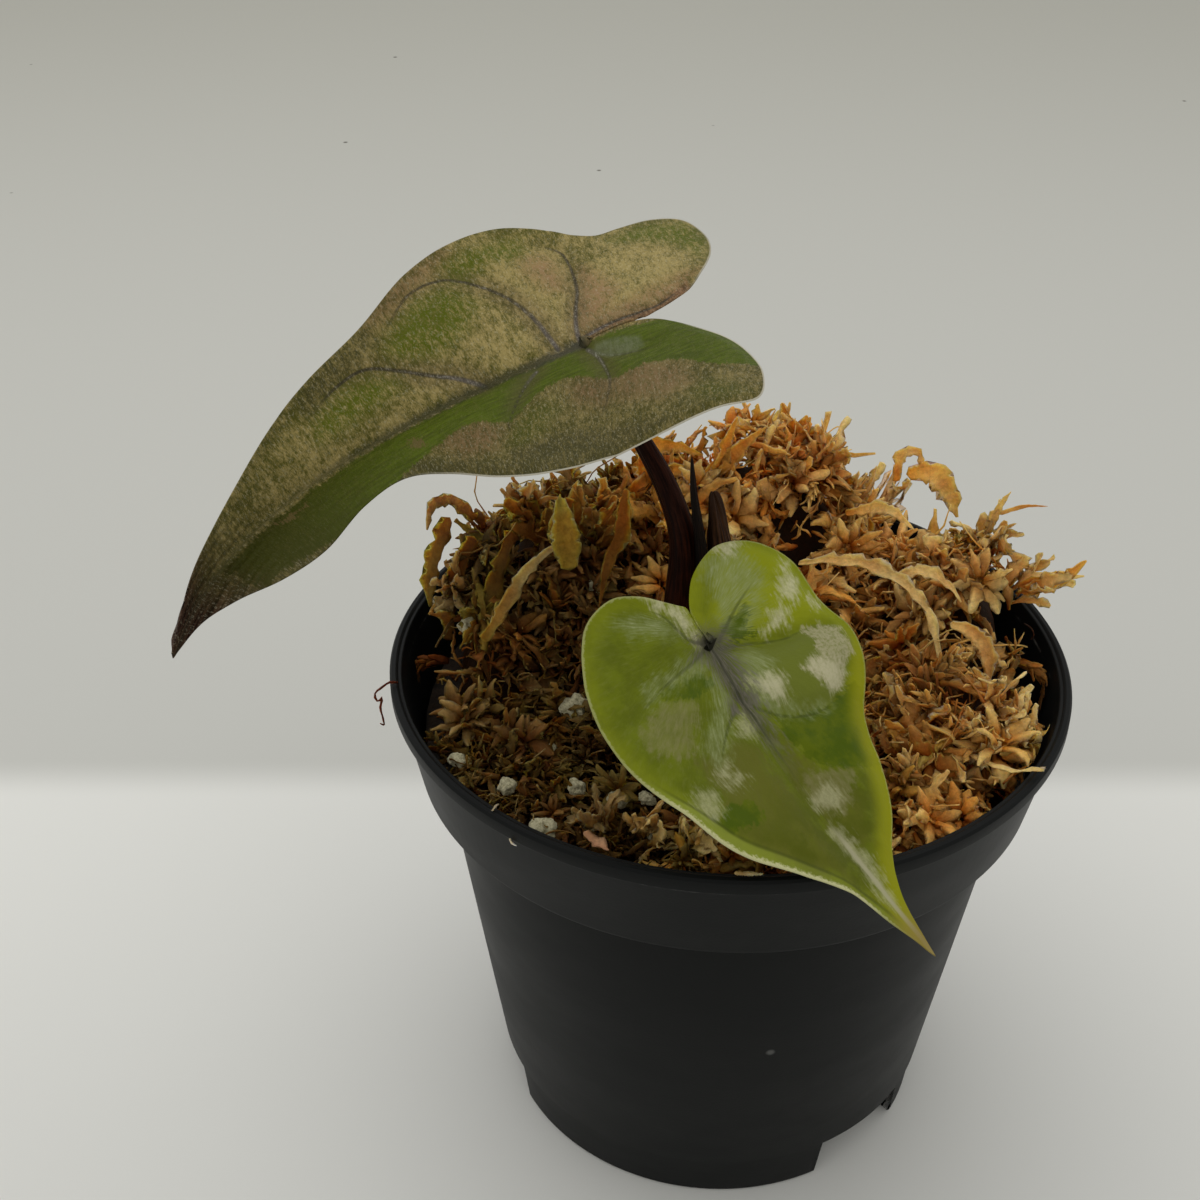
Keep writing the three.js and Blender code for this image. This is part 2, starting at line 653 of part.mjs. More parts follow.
place('pot', geometryOf(makePot()), 0x1d1f21, 0.45);
place('potting_mix', geometryOf(makeMix()), 0x3a2a1c, 0.95);
place('corm', geometryOf(makeCorm()), 0x5a4028, 0.85);
place('petiole_large', geometryOf(solidOf(largeStalk()).subtract(spikeRoom)), 0x35231d, 0.5);
place('petiole_small', tidyGeometry(smallStalk()), 0x6a7a34, 0.5);
place('leaf_spike', tidyGeometry(spike()), 0x1e1a18, 0.45);
place('sheath_stub', geometryOf(solidOf(stub()).subtract(spikeRoom)), 0x4a3a34, 0.6);
place('leaf_large', tidyGeometry(makeBlade(LARGE_LEAF)), 0x6d6a48, 0.5);
place('leaf_small', tidyGeometry(makeBlade(SMALL_LEAF)), 0x7f9a3c, 0.4);
CLUMPS.forEach((clump, i) => {
  place(clump.name, geometryOf(makeClump(clump, mossCutters, MOSS_SEED + 97 * i)), clump.colour, 0.95);
});
GRAINS.forEach((grain, i) => {
  const name = `perlite_${String(i + 1).padStart(2, '0')}`;
  place(name, grainAt(grain, grainSeeds[i]), 0xe8e6de, 0.9);
});
place('husk_flake', tidyGeometry(huskFlake()), 0xc8a080, 0.7);

export default plant;
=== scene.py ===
"""A young variegated aroid in a black nursery pot filled with long-fibre moss."""

import math
from collections import namedtuple

import bmesh
import bpy
import numpy as np
from bpy.props import FloatProperty, FloatVectorProperty, IntProperty, PointerProperty
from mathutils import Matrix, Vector, noise


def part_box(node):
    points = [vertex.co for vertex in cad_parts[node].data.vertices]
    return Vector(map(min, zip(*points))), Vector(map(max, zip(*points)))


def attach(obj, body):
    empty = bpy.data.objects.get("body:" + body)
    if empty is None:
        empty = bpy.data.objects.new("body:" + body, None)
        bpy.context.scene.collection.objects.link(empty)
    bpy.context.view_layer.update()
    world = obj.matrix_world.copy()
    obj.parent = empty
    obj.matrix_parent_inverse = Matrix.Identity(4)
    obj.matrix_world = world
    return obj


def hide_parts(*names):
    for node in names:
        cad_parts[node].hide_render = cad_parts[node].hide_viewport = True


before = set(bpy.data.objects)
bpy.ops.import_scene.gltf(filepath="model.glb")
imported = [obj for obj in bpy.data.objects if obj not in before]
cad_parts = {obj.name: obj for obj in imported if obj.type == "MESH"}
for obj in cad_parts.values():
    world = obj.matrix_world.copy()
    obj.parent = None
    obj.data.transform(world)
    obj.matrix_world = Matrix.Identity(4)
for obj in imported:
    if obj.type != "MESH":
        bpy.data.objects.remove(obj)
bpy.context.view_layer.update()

bl_info = {
    "name": "Potted Aroid",
    "version": (1, 0, 0),
    "blender": (4, 5, 0),
    "location": "View3D > Sidebar > Aroid",
    "description": "Dresses the packed pot, plant and moss with fine meshes and procedural finishes",
    "category": "Object",
}

BODY = "root"
MM = 0.001

POT_LOW, POT_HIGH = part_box("pot")
AXIS = (POT_LOW + POT_HIGH) / 2
LIP_RADIUS = (POT_HIGH.x - POT_LOW.x) / 2
POT_HEIGHT = POT_HIGH.z - POT_LOW.z


# Places and small vector sums. Shapes are worked out in millimetres about the pot's axis.

def placed(points):
    """Points about the pot's axis in millimetres, as points of the frame in metres."""
    return np.asarray(points, float) * MM + (AXIS.x, AXIS.y, 0)


def unit(vectors):
    return vectors / np.maximum(np.linalg.norm(vectors, axis=-1, keepdims=True), 1e-9)


def smooth(value, low, high):
    """0 below low, 1 above high, and an even rise between them."""
    t = np.clip((np.asarray(value, float) - low) / (high - low), 0, 1)
    return t * t * (3 - 2 * t)


def ripple(points, scale, seed):
    """Even noise from -1 to 1 at each point."""
    return np.array([noise.noise(Vector(p) * scale + Vector((seed, seed * 1.7, 0))) for p in points])


def flat_points(x, y):
    return np.stack([x, y, 0 * x], -1)


def curve_through(points, count):
    """Evenly spaced points on a centripetal Catmull-Rom curve through the given ones."""
    knots = np.asarray(points, float)
    knots = np.vstack([2 * knots[0] - knots[1], knots, 2 * knots[-1] - knots[-2]])
    fine = []
    for p0, p1, p2, p3 in zip(knots, knots[1:], knots[2:], knots[3:]):
        t1 = np.sqrt(np.linalg.norm(p1 - p0)) + 1e-9
        t2 = t1 + np.sqrt(np.linalg.norm(p2 - p1)) + 1e-9
        t3 = t2 + np.sqrt(np.linalg.norm(p3 - p2)) + 1e-9
        t = np.linspace(t1, t2, 24, endpoint=False)[:, None]
        a1 = (t1 - t) / t1 * p0 + t / t1 * p1
        a2 = (t2 - t) / (t2 - t1) * p1 + (t - t1) / (t2 - t1) * p2
        a3 = (t3 - t) / (t3 - t2) * p2 + (t - t2) / (t3 - t2) * p3
        b1 = (t2 - t) / t2 * a1 + t / t2 * a2
        b2 = (t3 - t) / (t3 - t1) * a2 + (t - t1) / (t3 - t1) * a3
        fine.append((t2 - t) / (t2 - t1) * b1 + (t - t1) / (t2 - t1) * b2)
    fine = np.vstack(fine + [knots[-2:-1]])
    run = np.concatenate([[0], np.cumsum(np.linalg.norm(np.diff(fine, axis=0), axis=1))])
    at = np.linspace(0, run[-1], count)
    return np.stack([np.interp(at, run, fine[:, i]) for i in range(fine.shape[1])], -1)


def distance_to_line(points, line):
    """How far each point is from a run of straight pieces, and how far along it that is, 0 to 1."""
    best = np.full(len(points), 1e9)
    share = np.zeros(len(points))
    run = np.concatenate([[0], np.cumsum(np.linalg.norm(np.diff(line, axis=0), axis=1))])
    for i, (a, b) in enumerate(zip(line[:-1], line[1:])):
        ab = b - a
        t = np.clip(((points - a) @ ab) / max(ab @ ab, 1e-12), 0, 1)
        gap = np.linalg.norm(points - a - t[:, None] * ab, axis=1)
        nearer = gap < best
        best[nearer] = gap[nearer]
        share[nearer] = ((run[i] + t * (run[i + 1] - run[i])) / run[-1])[nearer]
    return best, share


# Meshes

def deselect():
    if bpy.context.object and bpy.context.object.mode != "OBJECT":
        bpy.ops.object.mode_set(mode="OBJECT")
    bpy.ops.object.select_all(action="DESELECT")


def make_active(piece):
    deselect()
    piece.select_set(True)
    bpy.context.view_layer.objects.active = piece


def apply_modifier(piece, kind, **settings):
    make_active(piece)
    modifier = piece.modifiers.new(kind.title(), kind)
    for name, value in settings.items():
        setattr(modifier, name, value)
    bpy.ops.object.modifier_apply(modifier=modifier.name)


def settle(piece):
    """Puts the object at the origin, with its place in its mesh."""
    make_active(piece)
    bpy.ops.object.transform_apply(location=True, rotation=True, scale=True)


def give(piece, name, values):
    """Adds an attribute to the piece's points: one number, or three."""
    values = np.asarray(values, np.float32)
    kind, field = ("FLOAT", "value") if values.ndim == 1 else ("FLOAT_VECTOR", "vector")
    attribute = piece.data.attributes.new(name, kind, "POINT")
    attribute.data.foreach_set(field, values.ravel())


def mesh_of(name, points, faces, fields):
    """A smooth mesh piece of triangles or quads, given in millimetres about the pot's axis."""
    mesh = bpy.data.meshes.new(name)
    corners = faces.shape[1]
    mesh.vertices.add(len(points))
    mesh.loops.add(faces.size)
    mesh.polygons.add(len(faces))
    mesh.vertices.foreach_set("co", placed(points).astype(np.float32).ravel())
    mesh.loops.foreach_set("vertex_index", faces.astype(np.int32).ravel())
    mesh.polygons.foreach_set("loop_start", np.arange(0, faces.size, corners, dtype=np.int32))
    mesh.polygons.foreach_set("use_smooth", np.ones(len(faces), bool))
    mesh.update(calc_edges=True)
    piece = bpy.data.objects.new(name, mesh)
    bpy.context.scene.collection.objects.link(piece)
    for field, values in fields.items():
        give(piece, field, values)
    return piece


def finish_piece(piece, material, slot, *nodes):
    """Gives a finished piece its material and its body, and hides the nodes that it stands for; its slot is
    not used.
    """
    piece.data.materials.clear()
    piece.data.materials.append(material)
    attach(piece, BODY)
    if nodes:
        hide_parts(*nodes)


# Shader nodes

class Signal:
    """One output of a node. A sum with it adds a Math node to its tree."""

    def __init__(self, w, socket):
        self.w = w
        self.socket = socket

    def __add__(self, other):
        return self.w.sum("ADD", self, other)

    def __sub__(self, other):
        return self.w.sum("SUBTRACT", self, other)

    def __rsub__(self, other):
        return self.w.sum("SUBTRACT", other, self)

    def __mul__(self, other):
        return self.w.sum("MULTIPLY", self, other)

    def __truediv__(self, other):
        return self.w.sum("DIVIDE", self, other)


class Wiring:
    """A node tree in the making. Each call adds a node and hands back one of its outputs."""

    def __init__(self, tree):
        self.tree = tree

    def feed(self, made, inputs):
        for name, value in inputs.items():
            socket = made.inputs[name]
            if isinstance(value, Signal):
                self.tree.links.new(value.socket, socket)
            elif socket.type == "RGBA" and len(value) == 3:
                socket.default_value = (*value, 1)
            else:
                socket.default_value = value

    def node(self, kind, inputs=None, **settings):
        made = self.tree.nodes.new(kind)
        for name, value in settings.items():
            setattr(made, name, value)
        self.feed(made, inputs or {})
        return made

    def add(self, kind, inputs=None, output=0, **settings):
        return Signal(self, self.node(kind, inputs, **settings).outputs[output])

    def split(self, vector):
        """The three numbers of a vector."""
        parts = self.node("ShaderNodeSeparateXYZ", {"Vector": vector}).outputs
        return [Signal(self, part) for part in parts]

    def grey(self, level):
        return self.add("ShaderNodeCombineColor", {0: level, 1: level, 2: level})

    def attribute(self, name, output="Fac"):
        return self.add("ShaderNodeAttribute", output=output, attribute_name=name)

    def place(self):
        return self.add("ShaderNodeTexCoord", output="Object")

    def scaled(self, vector, scale):
        return self.add("ShaderNodeMapping", {"Vector": vector, "Scale": scale})

    def noise(self, vector, scale, detail=3.0, roughness=0.5, distortion=0.0):
        return self.add("ShaderNodeTexNoise", {"Vector": vector, "Scale": scale, "Detail": detail,
                                               "Roughness": roughness, "Distortion": distortion})

    def sum(self, operation, a, b=0.0, c=0.0, clamp=False):
        return self.add("ShaderNodeMath", {0: a, 1: b, 2: c}, operation=operation, use_clamp=clamp)

    def step(self, value, low, high, out_low=0.0, out_high=1.0):
        """A soft step from out_low at low to out_high at high."""
        return self.add("ShaderNodeMapRange", {"Value": value, "From Min": low, "From Max": high,
                                               "To Min": out_low, "To Max": out_high},
                        interpolation_type="SMOOTHSTEP")

    def inside(self, name, reach):
        """A mask that fades in evenly from that far outside an outline to as far inside it."""
        return self.step(self.attribute(name), -reach, reach)

    def mix(self, share, a, b, blend="MIX"):
        return self.add("ShaderNodeMix", {0: share, 6: a, 7: b}, 2, data_type="RGBA", blend_type=blend)

    def bump(self, height, distance, strength=1.0):
        return self.add("ShaderNodeBump", {"Height": height, "Distance": distance, "Strength": strength})


class Coat:
    """A colour that is painted over, mask by mask."""

    def __init__(self, w, colour):
        self.w = w
        self.colour = colour

    def over(self, mask, tone):
        self.colour = self.w.mix(mask, self.colour, tone)


class Effect:
    """A shader group of one output, built when it is first used and then shared."""

    def __init__(self, name, result, sockets, build):
        self.name = name
        self.result = result
        self.sockets = sockets
        self.build = build

    def new_tree(self):
        """The group's nodes and named sockets. A socket without a default takes a vector."""
        tree = bpy.data.node_groups.new(self.name, "ShaderNodeTree")
        for name, default in self.sockets.items():
            kind = "NodeSocketVector" if default is None else "NodeSocketFloat"
            socket = tree.interface.new_socket(name, in_out="INPUT", socket_type=kind)
            if default is not None:
                socket.default_value = default
        tree.interface.new_socket(self.result, in_out="OUTPUT", socket_type="NodeSocketFloat")
        w = Wiring(tree)
        entry = tree.nodes.new("NodeGroupInput").outputs
        made = self.build(w, *(Signal(w, entry[name]) for name in self.sockets))
        w.feed(tree.nodes.new("NodeGroupOutput"), {self.result: made})
        return tree

    def __call__(self, w, *values):
        tree = bpy.data.node_groups.get(self.name) or self.new_tree()
        return w.add("ShaderNodeGroup", dict(zip(self.sockets, values)), node_tree=tree)


def build_patch_mask(w, field, vector, streak_vector, scale, ragged, softness):
    """Where a field is above zero, its edge made ragged by blotches and by streaks."""
    blotches = w.noise(vector, scale, detail=5.0, roughness=0.65)
    streaks = w.noise(w.scaled(streak_vector, (0.4, 2.2, 1)), scale * 1.6, detail=4.0, roughness=0.6)
    wobble = (blotches + streaks) * 2.2 - 2.2
    return w.step(wobble * ragged + field, softness * -1.0, softness)


def build_speckle(w, vector, scale, contrast):
    """Fine grains that stand in rows, from 0 to 1."""
    fine = w.noise(vector, scale, detail=2.0, roughness=0.7)
    coarse = w.noise(vector, scale * 0.31, detail=2.0)
    centred = coarse * 0.6 + fine * 0.7 - 0.65
    return w.sum("MULTIPLY_ADD", centred, contrast * 3.0, 0.5, clamp=True)


def build_dust(w, vector, scale, amount):
    """Small specks, few and scattered."""
    cells = w.node("ShaderNodeTexVoronoi", {"Vector": vector, "Scale": scale}).outputs
    near = w.step(Signal(w, cells["Distance"]), 0.06, 0.16, 1.0, 0.0)
    chosen = w.add("ShaderNodeSeparateColor", {"Color": Signal(w, cells["Color"])})
    return near * w.sum("LESS_THAN", chosen, amount)


patch_mask = Effect("Patch Mask", "Mask", {"Field": 0.0, "Vector": None, "Streak Vector": None, "Scale": 1.0,
                                           "Ragged": 0.3, "Softness": 0.1}, build_patch_mask)
speckle = Effect("Speckle", "Grain", {"Vector": None, "Scale": 3.0, "Contrast": 1.0}, build_speckle)
dust = Effect("Dust", "Specks", {"Vector": None, "Scale": 400.0, "Amount": 0.1}, build_dust)


def tinted(colour, level):
    return [part * level for part in colour]


def surface(name, wire, *given, **constants):
    """A material with one Principled shader. wire puts in what changes over the surface."""
    material = bpy.data.materials.new(name)
    material.use_nodes = True
    shader = material.node_tree.nodes["Principled BSDF"]
    for socket, value in constants.items():
        shader.inputs[socket.replace("_", " ")].default_value = value
    w = Wiring(material.node_tree)
    w.feed(shader, wire(w, *given))
    return material


# Settings that a user would change

def length_property(name, description, default, precision=4):
    return FloatProperty(name=name, description=description, default=default, unit="LENGTH",
                         precision=precision)


def colour_property(name, description, default):
    return FloatVectorProperty(name=name, description=description, default=default, subtype="COLOR")


class PotSettings(bpy.types.PropertyGroup):
    lip_radius: length_property("Lip radius", "Outer radius of the lip", LIP_RADIUS)
    height: length_property("Height", "Height from the table to the lip", POT_HEIGHT)
    segments: IntProperty(name="Segments", description="Steps round the pot", default=192, min=24)
    edge: length_property("Edge", "Width of the rounding on each edge", 0.00016, 5)
    plastic: colour_property("Plastic", "Colour of the plastic", (0.0042, 0.0047, 0.0046))
    scuff: colour_property("Scuff", "Colour of worn edges", (0.2, 0.2, 0.19))


class LeafSettings(bpy.types.PropertyGroup):
    thickness: length_property("Thickness", "Thickness of the blade between its veins", 0.0005, 5)
    rows: IntProperty(name="Rows", description="Steps along each half of the margin", default=230)
    columns: IntProperty(name="Columns", description="Steps from midrib to margin", default=58)
    khaki: colour_property("Khaki", "Pale grains of the large leaf", (0.41, 0.32, 0.12))
    olive: colour_property("Olive", "Ground of the large leaf", (0.092, 0.088, 0.013))
    green: colour_property("Green", "Bright band of the large leaf", (0.072, 0.1, 0.006))
    fresh: colour_property("Fresh green", "Ground of the small leaf", (0.118, 0.145, 0.004))
    lime: colour_property("Lime", "Bright parts of the small leaf", (0.26, 0.29, 0.006))
    cream: colour_property("Cream", "Pale patches of the small leaf", (0.52, 0.5, 0.3))
    vein: colour_property("Vein", "Colour of the dark veins", (0.045, 0.038, 0.024))


class MossSettings(bpy.types.PropertyGroup):
    seed: IntProperty(name="Seed", description="Start of the random draws", default=71)
    density: FloatProperty(name="Density", description="How closely the strands stand", default=1.0, min=0.1)
    straw: colour_property("Straw", "Palest moss", (0.82, 0.58, 0.23))
    amber: colour_property("Amber", "Orange moss", (0.74, 0.37, 0.075))
    umber: colour_property("Umber", "Golden brown moss", (0.46, 0.2, 0.032))
    olive: colour_property("Olive", "Greenish moss", (0.42, 0.34, 0.055))
    # The depths' colour is painted shade, put on the dark body under the fronds.
    depth_shade: colour_property("Depth shade", "Depths of the moss", (0.024, 0.0085, 0.0014))


class StageSettings(bpy.types.PropertyGroup):
    lens: FloatProperty(name="Lens", description="Focal length", default=51.0, subtype="DISTANCE_CAMERA")
    floor: colour_property("Floor", "Colour of the floor", (0.825, 0.825, 0.79))
    # The floor past the line behind the pot: a grey painted as shade, standing in for a shaded wall.
    wall_shade_tone: colour_property("Wall shade", "Colour of the floor far behind", (0.6, 0.6, 0.565))
    key: FloatProperty(name="Key light", description="Power of the large light overhead", default=1.75)
    fill: FloatProperty(name="Fill light", description="Strength of the light from all round", default=0.68)


# Stage: a pale floor, painted brighter just before a line behind the pot and painted with a wall's shade
# past it, one large soft light, a camera

CAMERA_PLACE = (-19.9, -217.2, 236.6)
CAMERA_PITCH = 33.4
SENSOR_WIDTH = 36
FLOOR_SIZE = 6.0
TURN_LINE = 68.0
KEY_SIZE = 1.1
KEY_PLACE = (-0.14, 0.3, 0.8)
KEY_AIM = (0, 0, 0.05)


def wire_floor(w, stage):
    """Pale paper with painted light and shade: a little brighter before a line behind the pot, and past it a
    grey that stands in for a shaded wall, with a few specks on it.
    """
    along = w.split(w.place())[1]
    turn = AXIS.y + TURN_LINE * MM
    wander = w.noise(w.place(), 3.0, detail=1.0)
    # Painted light: the floor is a little brighter just before the line behind the pot.
    level = w.step(along, turn - 0.16, turn, 0.9, 1.0) * w.step(wander, 0.2, 0.8, 0.97, 1.03)
    shade = w.mix(1.0, stage.floor, w.grey(level), "MULTIPLY")
    # Painted shade: past the line the floor turns grey, and darker further back, standing in for a shaded
    # wall.
    wall = w.mix(w.step(along, turn, turn + 0.75), stage.wall_shade_tone, (0.455, 0.45, 0.4))
    paper = w.mix(w.step(along, turn - 0.004, turn + 0.01), shade, wall)
    return {"Base Color": w.mix(dust(w, w.place(), 120.0, 0.0035), paper, (0.12, 0.11, 0.09))}


def make_floor(stage):
    deselect()
    bpy.ops.mesh.primitive_plane_add(size=FLOOR_SIZE, location=(0, 0, 0))
    floor = bpy.context.object
    floor.name = "stage_floor"
    floor.data.materials.append(surface("Stage paper", wire_floor, stage, Roughness=0.8))


def make_light(name, power, size, place, aim):
    data = bpy.data.lights.new(name, "AREA")
    data.energy = power
    data.shape = "DISK"
    data.size = size
    light = bpy.data.objects.new(name, data)
    light.location = place
    light.rotation_mode = "QUATERNION"
    light.rotation_quaternion = (Vector(aim) - Vector(place)).to_track_quat("-Z", "Y")
    bpy.context.scene.collection.objects.link(light)
    return light


def make_world(strength):
    world = bpy.data.worlds.new("Soft room")
    world.use_nodes = True
    back = world.node_tree.nodes["Background"]
    back.inputs["Color"].default_value = (1.0, 0.995, 0.965, 1)
    back.inputs["Strength"].default_value = strength
    bpy.context.scene.world = world


def make_camera(lens):
    data = bpy.data.cameras.new("camera")
    data.lens = lens
    data.sensor_width = SENSOR_WIDTH
    camera = bpy.data.objects.new("camera", data)
    camera.location = placed(CAMERA_PLACE)
    camera.rotation_euler = (math.radians(90 - CAMERA_PITCH), 0, 0)
    bpy.context.scene.collection.objects.link(camera)
    bpy.context.scene.camera = camera


class AROID_OT_stage(bpy.types.Operator):
    """Adds the floor, the lights and the camera"""
    bl_idname = "aroid.stage"
    bl_label = "Stage"

    def execute(self, context):
        stage = context.scene.aroid_stage
        make_floor(stage)
        make_world(stage.fill)
        make_light("key", stage.key, KEY_SIZE, KEY_PLACE, KEY_AIM)
        make_camera(stage.lens)
        context.scene.view_settings.view_transform = "Standard"
        return {"FINISHED"}


# Pot: a ring of points extruded along the wall's outline, with notches in its foot and drain holes

POT_OUTLINE = [
    (34.2, 9), (34.2, 0.4), (34.5, 0), (35.7, 0), (36.05, 0.5), (36.85, 8.1), (37.25, 8.7),
    (45.1, 65.9), (46.0, 66.5), (48.3, 66.9), (48.85, 67.8), (51.35, 80.8), (51.8, 81.3),
    (52.3, 81.45), (52.5, 81.8), (52.5, 83.5), (52.2, 83.9), (51.6, 84), (51.3, 83.85), (51.1, 83.6),
    (50.9, 83.75), (50.65, 83.6), (50.3, 82.6), (47.75, 68.6), (47.3, 67.9), (44.2, 66.8),
    (36.1, 11.2), (35.2, 10.4),
]
LIP_LINE = 81.35
OUTLINE_RADIUS = 52.5
OUTLINE_HEIGHT = 84
NOTCH_BEARINGS = (-48.5, 71.5, 191.5)
NOTCH_CIRCLE = 36.5
NOTCH_SIZE = (20, 14, 16)
NOTCH_TAPER = 0.92
DRAIN_HOLES = 8
DRAIN_SIDES = 32
DRAIN_RADIUS = 3.2
DRAIN_CIRCLE = 24
DRAIN_HEIGHT = 10
DRAIN_DEPTH = 6
BEVEL_ANGLE = 50
SHARP_ANGLE = 32


def turned(name, outline, segments):
    """A ring extruded from point to point of an outline of radius and height."""
    centre = (AXIS.x, AXIS.y, 0)
    deselect()
    radius, height = outline[0]
    bpy.ops.mesh.primitive_circle_add(vertices=segments, radius=radius * MM,
                                      location=(AXIS.x, AXIS.y, height * MM))
    piece = bpy.context.object
    piece.name = name
    bpy.ops.object.mode_set(mode="EDIT")
    bpy.ops.mesh.edge_face_add()
    bpy.ops.mesh.delete(type="ONLY_FACE")
    bpy.ops.mesh.select_all(action="SELECT")
    for (r0, z0), (r1, z1) in zip(outline, outline[1:]):
        bpy.ops.mesh.extrude_region_move(TRANSFORM_OT_translate={"value": (0, 0, (z1 - z0) * MM)})
        bpy.ops.transform.resize(value=(r1 / r0, r1 / r0, 1), center_override=centre)
    bpy.ops.object.mode_set(mode="OBJECT")
    return piece


def cap_rings(piece, heights):
    """Fills the open rings at the given heights, each with one face."""
    make_active(piece)
    for height in heights:
        bpy.ops.object.mode_set(mode="EDIT")
        bpy.ops.mesh.select_all(action="DESELECT")
        mesh = bmesh.from_edit_mesh(piece.data)
        for edge in mesh.edges:
            level = all(abs(v.co.z + piece.location.z - height * MM) < 1e-5 for v in edge.verts)
            edge.select = edge.is_boundary and level
        mesh.select_flush_mode()
        bmesh.update_edit_mesh(piece.data)
        bpy.ops.mesh.edge_face_add()
        bpy.ops.object.mode_set(mode="OBJECT")


def on_circle(radius, turn, height=0):
    return placed([radius * math.cos(turn), radius * math.sin(turn), height])


def pot_cutters():
    """The notches in the foot and the holes in the base, joined in one object."""
    made = []
    for bearing in NOTCH_BEARINGS:
        turn = math.radians(bearing)
        place = on_circle(NOTCH_CIRCLE, turn)
        deselect()
        bpy.ops.mesh.primitive_cube_add(size=1, location=place, rotation=(0, 0, turn + math.pi / 2))
        notch = bpy.context.object
        notch.scale = np.array(NOTCH_SIZE) * MM
        settle(notch)
        for point in notch.data.vertices:
            if point.co.z > 0:
                point.co.xy = Vector(place[:2]) + (point.co.xy - Vector(place[:2])) * NOTCH_TAPER
        made.append(notch)
    for i in range(DRAIN_HOLES):
        place = on_circle(DRAIN_CIRCLE, 2 * math.pi * i / DRAIN_HOLES, DRAIN_HEIGHT)
        deselect()
        bpy.ops.mesh.primitive_cylinder_add(vertices=DRAIN_SIDES, radius=DRAIN_RADIUS * MM,
                                            depth=DRAIN_DEPTH * MM, location=place)
        settle(bpy.context.object)
        made.append(bpy.context.object)
    make_active(made[0])
    for cutter in made:
        cutter.select_set(True)
    bpy.ops.object.join()
    return bpy.context.object


def wire_pot(w, pot):
    """Black plastic: a fine matt grain, soft flow marks, a band painted a little lighter as painted sheen, a
    scuffed lip edge, scratches and dust.
    """
    place = w.place()
    height = w.split(place)[2]
    grain = w.noise(place, 2600.0, detail=2.0)
    clouds = w.noise(w.scaled(place, (9, 9, 22)), 3.0, detail=4.0, roughness=0.6)
    line = w.step(w.sum("ABSOLUTE", height - LIP_LINE * MM), 0.0, 0.00035, 1.0, 0.0)
    scuffs = line * w.step(w.noise(place, 260.0, detail=5.0, roughness=0.75), 0.5, 0.68)
    scrape = w.noise(w.scaled(place, (60, 60, 420)), 4.0, detail=6.0, roughness=0.8, distortion=1.5)
    marks = w.step(scrape, 0.74, 0.8) * w.step(height, 0.05, 0.062)
    worn = w.sum("MAXIMUM", scuffs * 0.75, marks * 0.35)
    pale = w.sum("MAXIMUM", worn, dust(w, place, 170.0, 0.035) * 0.4)
    tone = w.mix(w.step(clouds, 0.3, 0.7), pot.plastic, tinted(pot.plastic, 1.35))
    # Painted sheen: the band above its step is a little lighter.
    tone = w.mix(w.step(height, 0.066, 0.0685) * 0.35, tone, tinted(pot.plastic, 1.5))
    return {"Base Color": w.mix(pale, tone, pot.scuff),
            "Roughness": w.step(clouds, 0.25, 0.75, 0.42, 0.52),
            "Normal": w.bump(scrape * 0.5 + grain, 0.00002, 0.5)}


class AROID_OT_pot(bpy.types.Operator):
    """Makes the nursery pot with its lip, band, foot notches and drain holes"""
    bl_idname = "aroid.pot"
    bl_label = "Pot"

    def execute(self, context):
        pot = context.scene.aroid_pot
        wide = pot.lip_radius / (OUTLINE_RADIUS * MM)
        tall = pot.height / (OUTLINE_HEIGHT * MM)
        outline = [(r * wide, z * tall) for r, z in POT_OUTLINE]
        piece = turned("fine_pot", outline, pot.segments)
        cap_rings(piece, (outline[0][1], outline[-1][1]))
        settle(piece)
        cutter = pot_cutters()
        apply_modifier(piece, "BOOLEAN", operation="DIFFERENCE", object=cutter, solver="EXACT")
        bpy.data.objects.remove(cutter)
        apply_modifier(piece, "BEVEL", width=pot.edge, segments=1, limit_method="ANGLE",
                       angle_limit=math.radians(BEVEL_ANGLE))
        make_active(piece)
        bpy.ops.object.mode_set(mode="EDIT")
        bpy.ops.mesh.select_all(action="SELECT")
        bpy.ops.mesh.normals_make_consistent(inside=False)
        bpy.ops.object.mode_set(mode="OBJECT")
        bpy.ops.object.shade_smooth_by_angle(angle=math.radians(SHARP_ANGLE))
        plastic = surface("Black nursery plastic", wire_pot, pot, Specular_IOR_Level=0.09)
        finish_piece(piece, plastic, "pot_plastic", "pot")
        return {"FINISHED"}


# Potting mix and corm keep their solids

def wire_mix(w):
    crumbs = w.noise(w.place(), 420.0, detail=6.0, roughness=0.7)
    lumps = w.noise(w.place(), 90.0, detail=3.0)
    specks = dust(w, w.place(), 260.0, 0.08)
    ground = w.mix(w.step(crumbs, 0.35, 0.7), (0.008, 0.005, 0.003), (0.05, 0.028, 0.014))
    return {"Base Color": w.mix(specks, ground, (0.4, 0.38, 0.33)), "Normal": w.bump(crumbs + lumps, 0.0012)}


def wire_corm(w):
    rings = w.noise(w.scaled(w.place(), (1, 1, 5)), 260.0, detail=4.0)
    skin = w.mix(w.step(rings, 0.3, 0.7), (0.03, 0.016, 0.008), (0.13, 0.07, 0.03))
    return {"Base Color": skin, "Normal": w.bump(rings, 0.0004)}


class AROID_OT_ground(bpy.types.Operator):
    """Gives the potting mix and the corm their finishes"""
    bl_idname = "aroid.ground"
    bl_label = "Potting mix and corm"

    def execute(self, context):
        finishes = {
            "potting_mix": surface("Potting mix", wire_mix, Roughness=0.95),
            "corm": surface("Corm skin", wire_corm, Roughness=0.85),
        }
        for name, material in finishes.items():
            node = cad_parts[name]
            node.data.materials.clear()
            node.data.materials.append(material)
            for polygon in node.data.polygons:
                polygon.material_index = 0
        return {"FINISHED"}


# Leaves, in their own measure: s along the midrib from the stalk, v across it, in millimetres

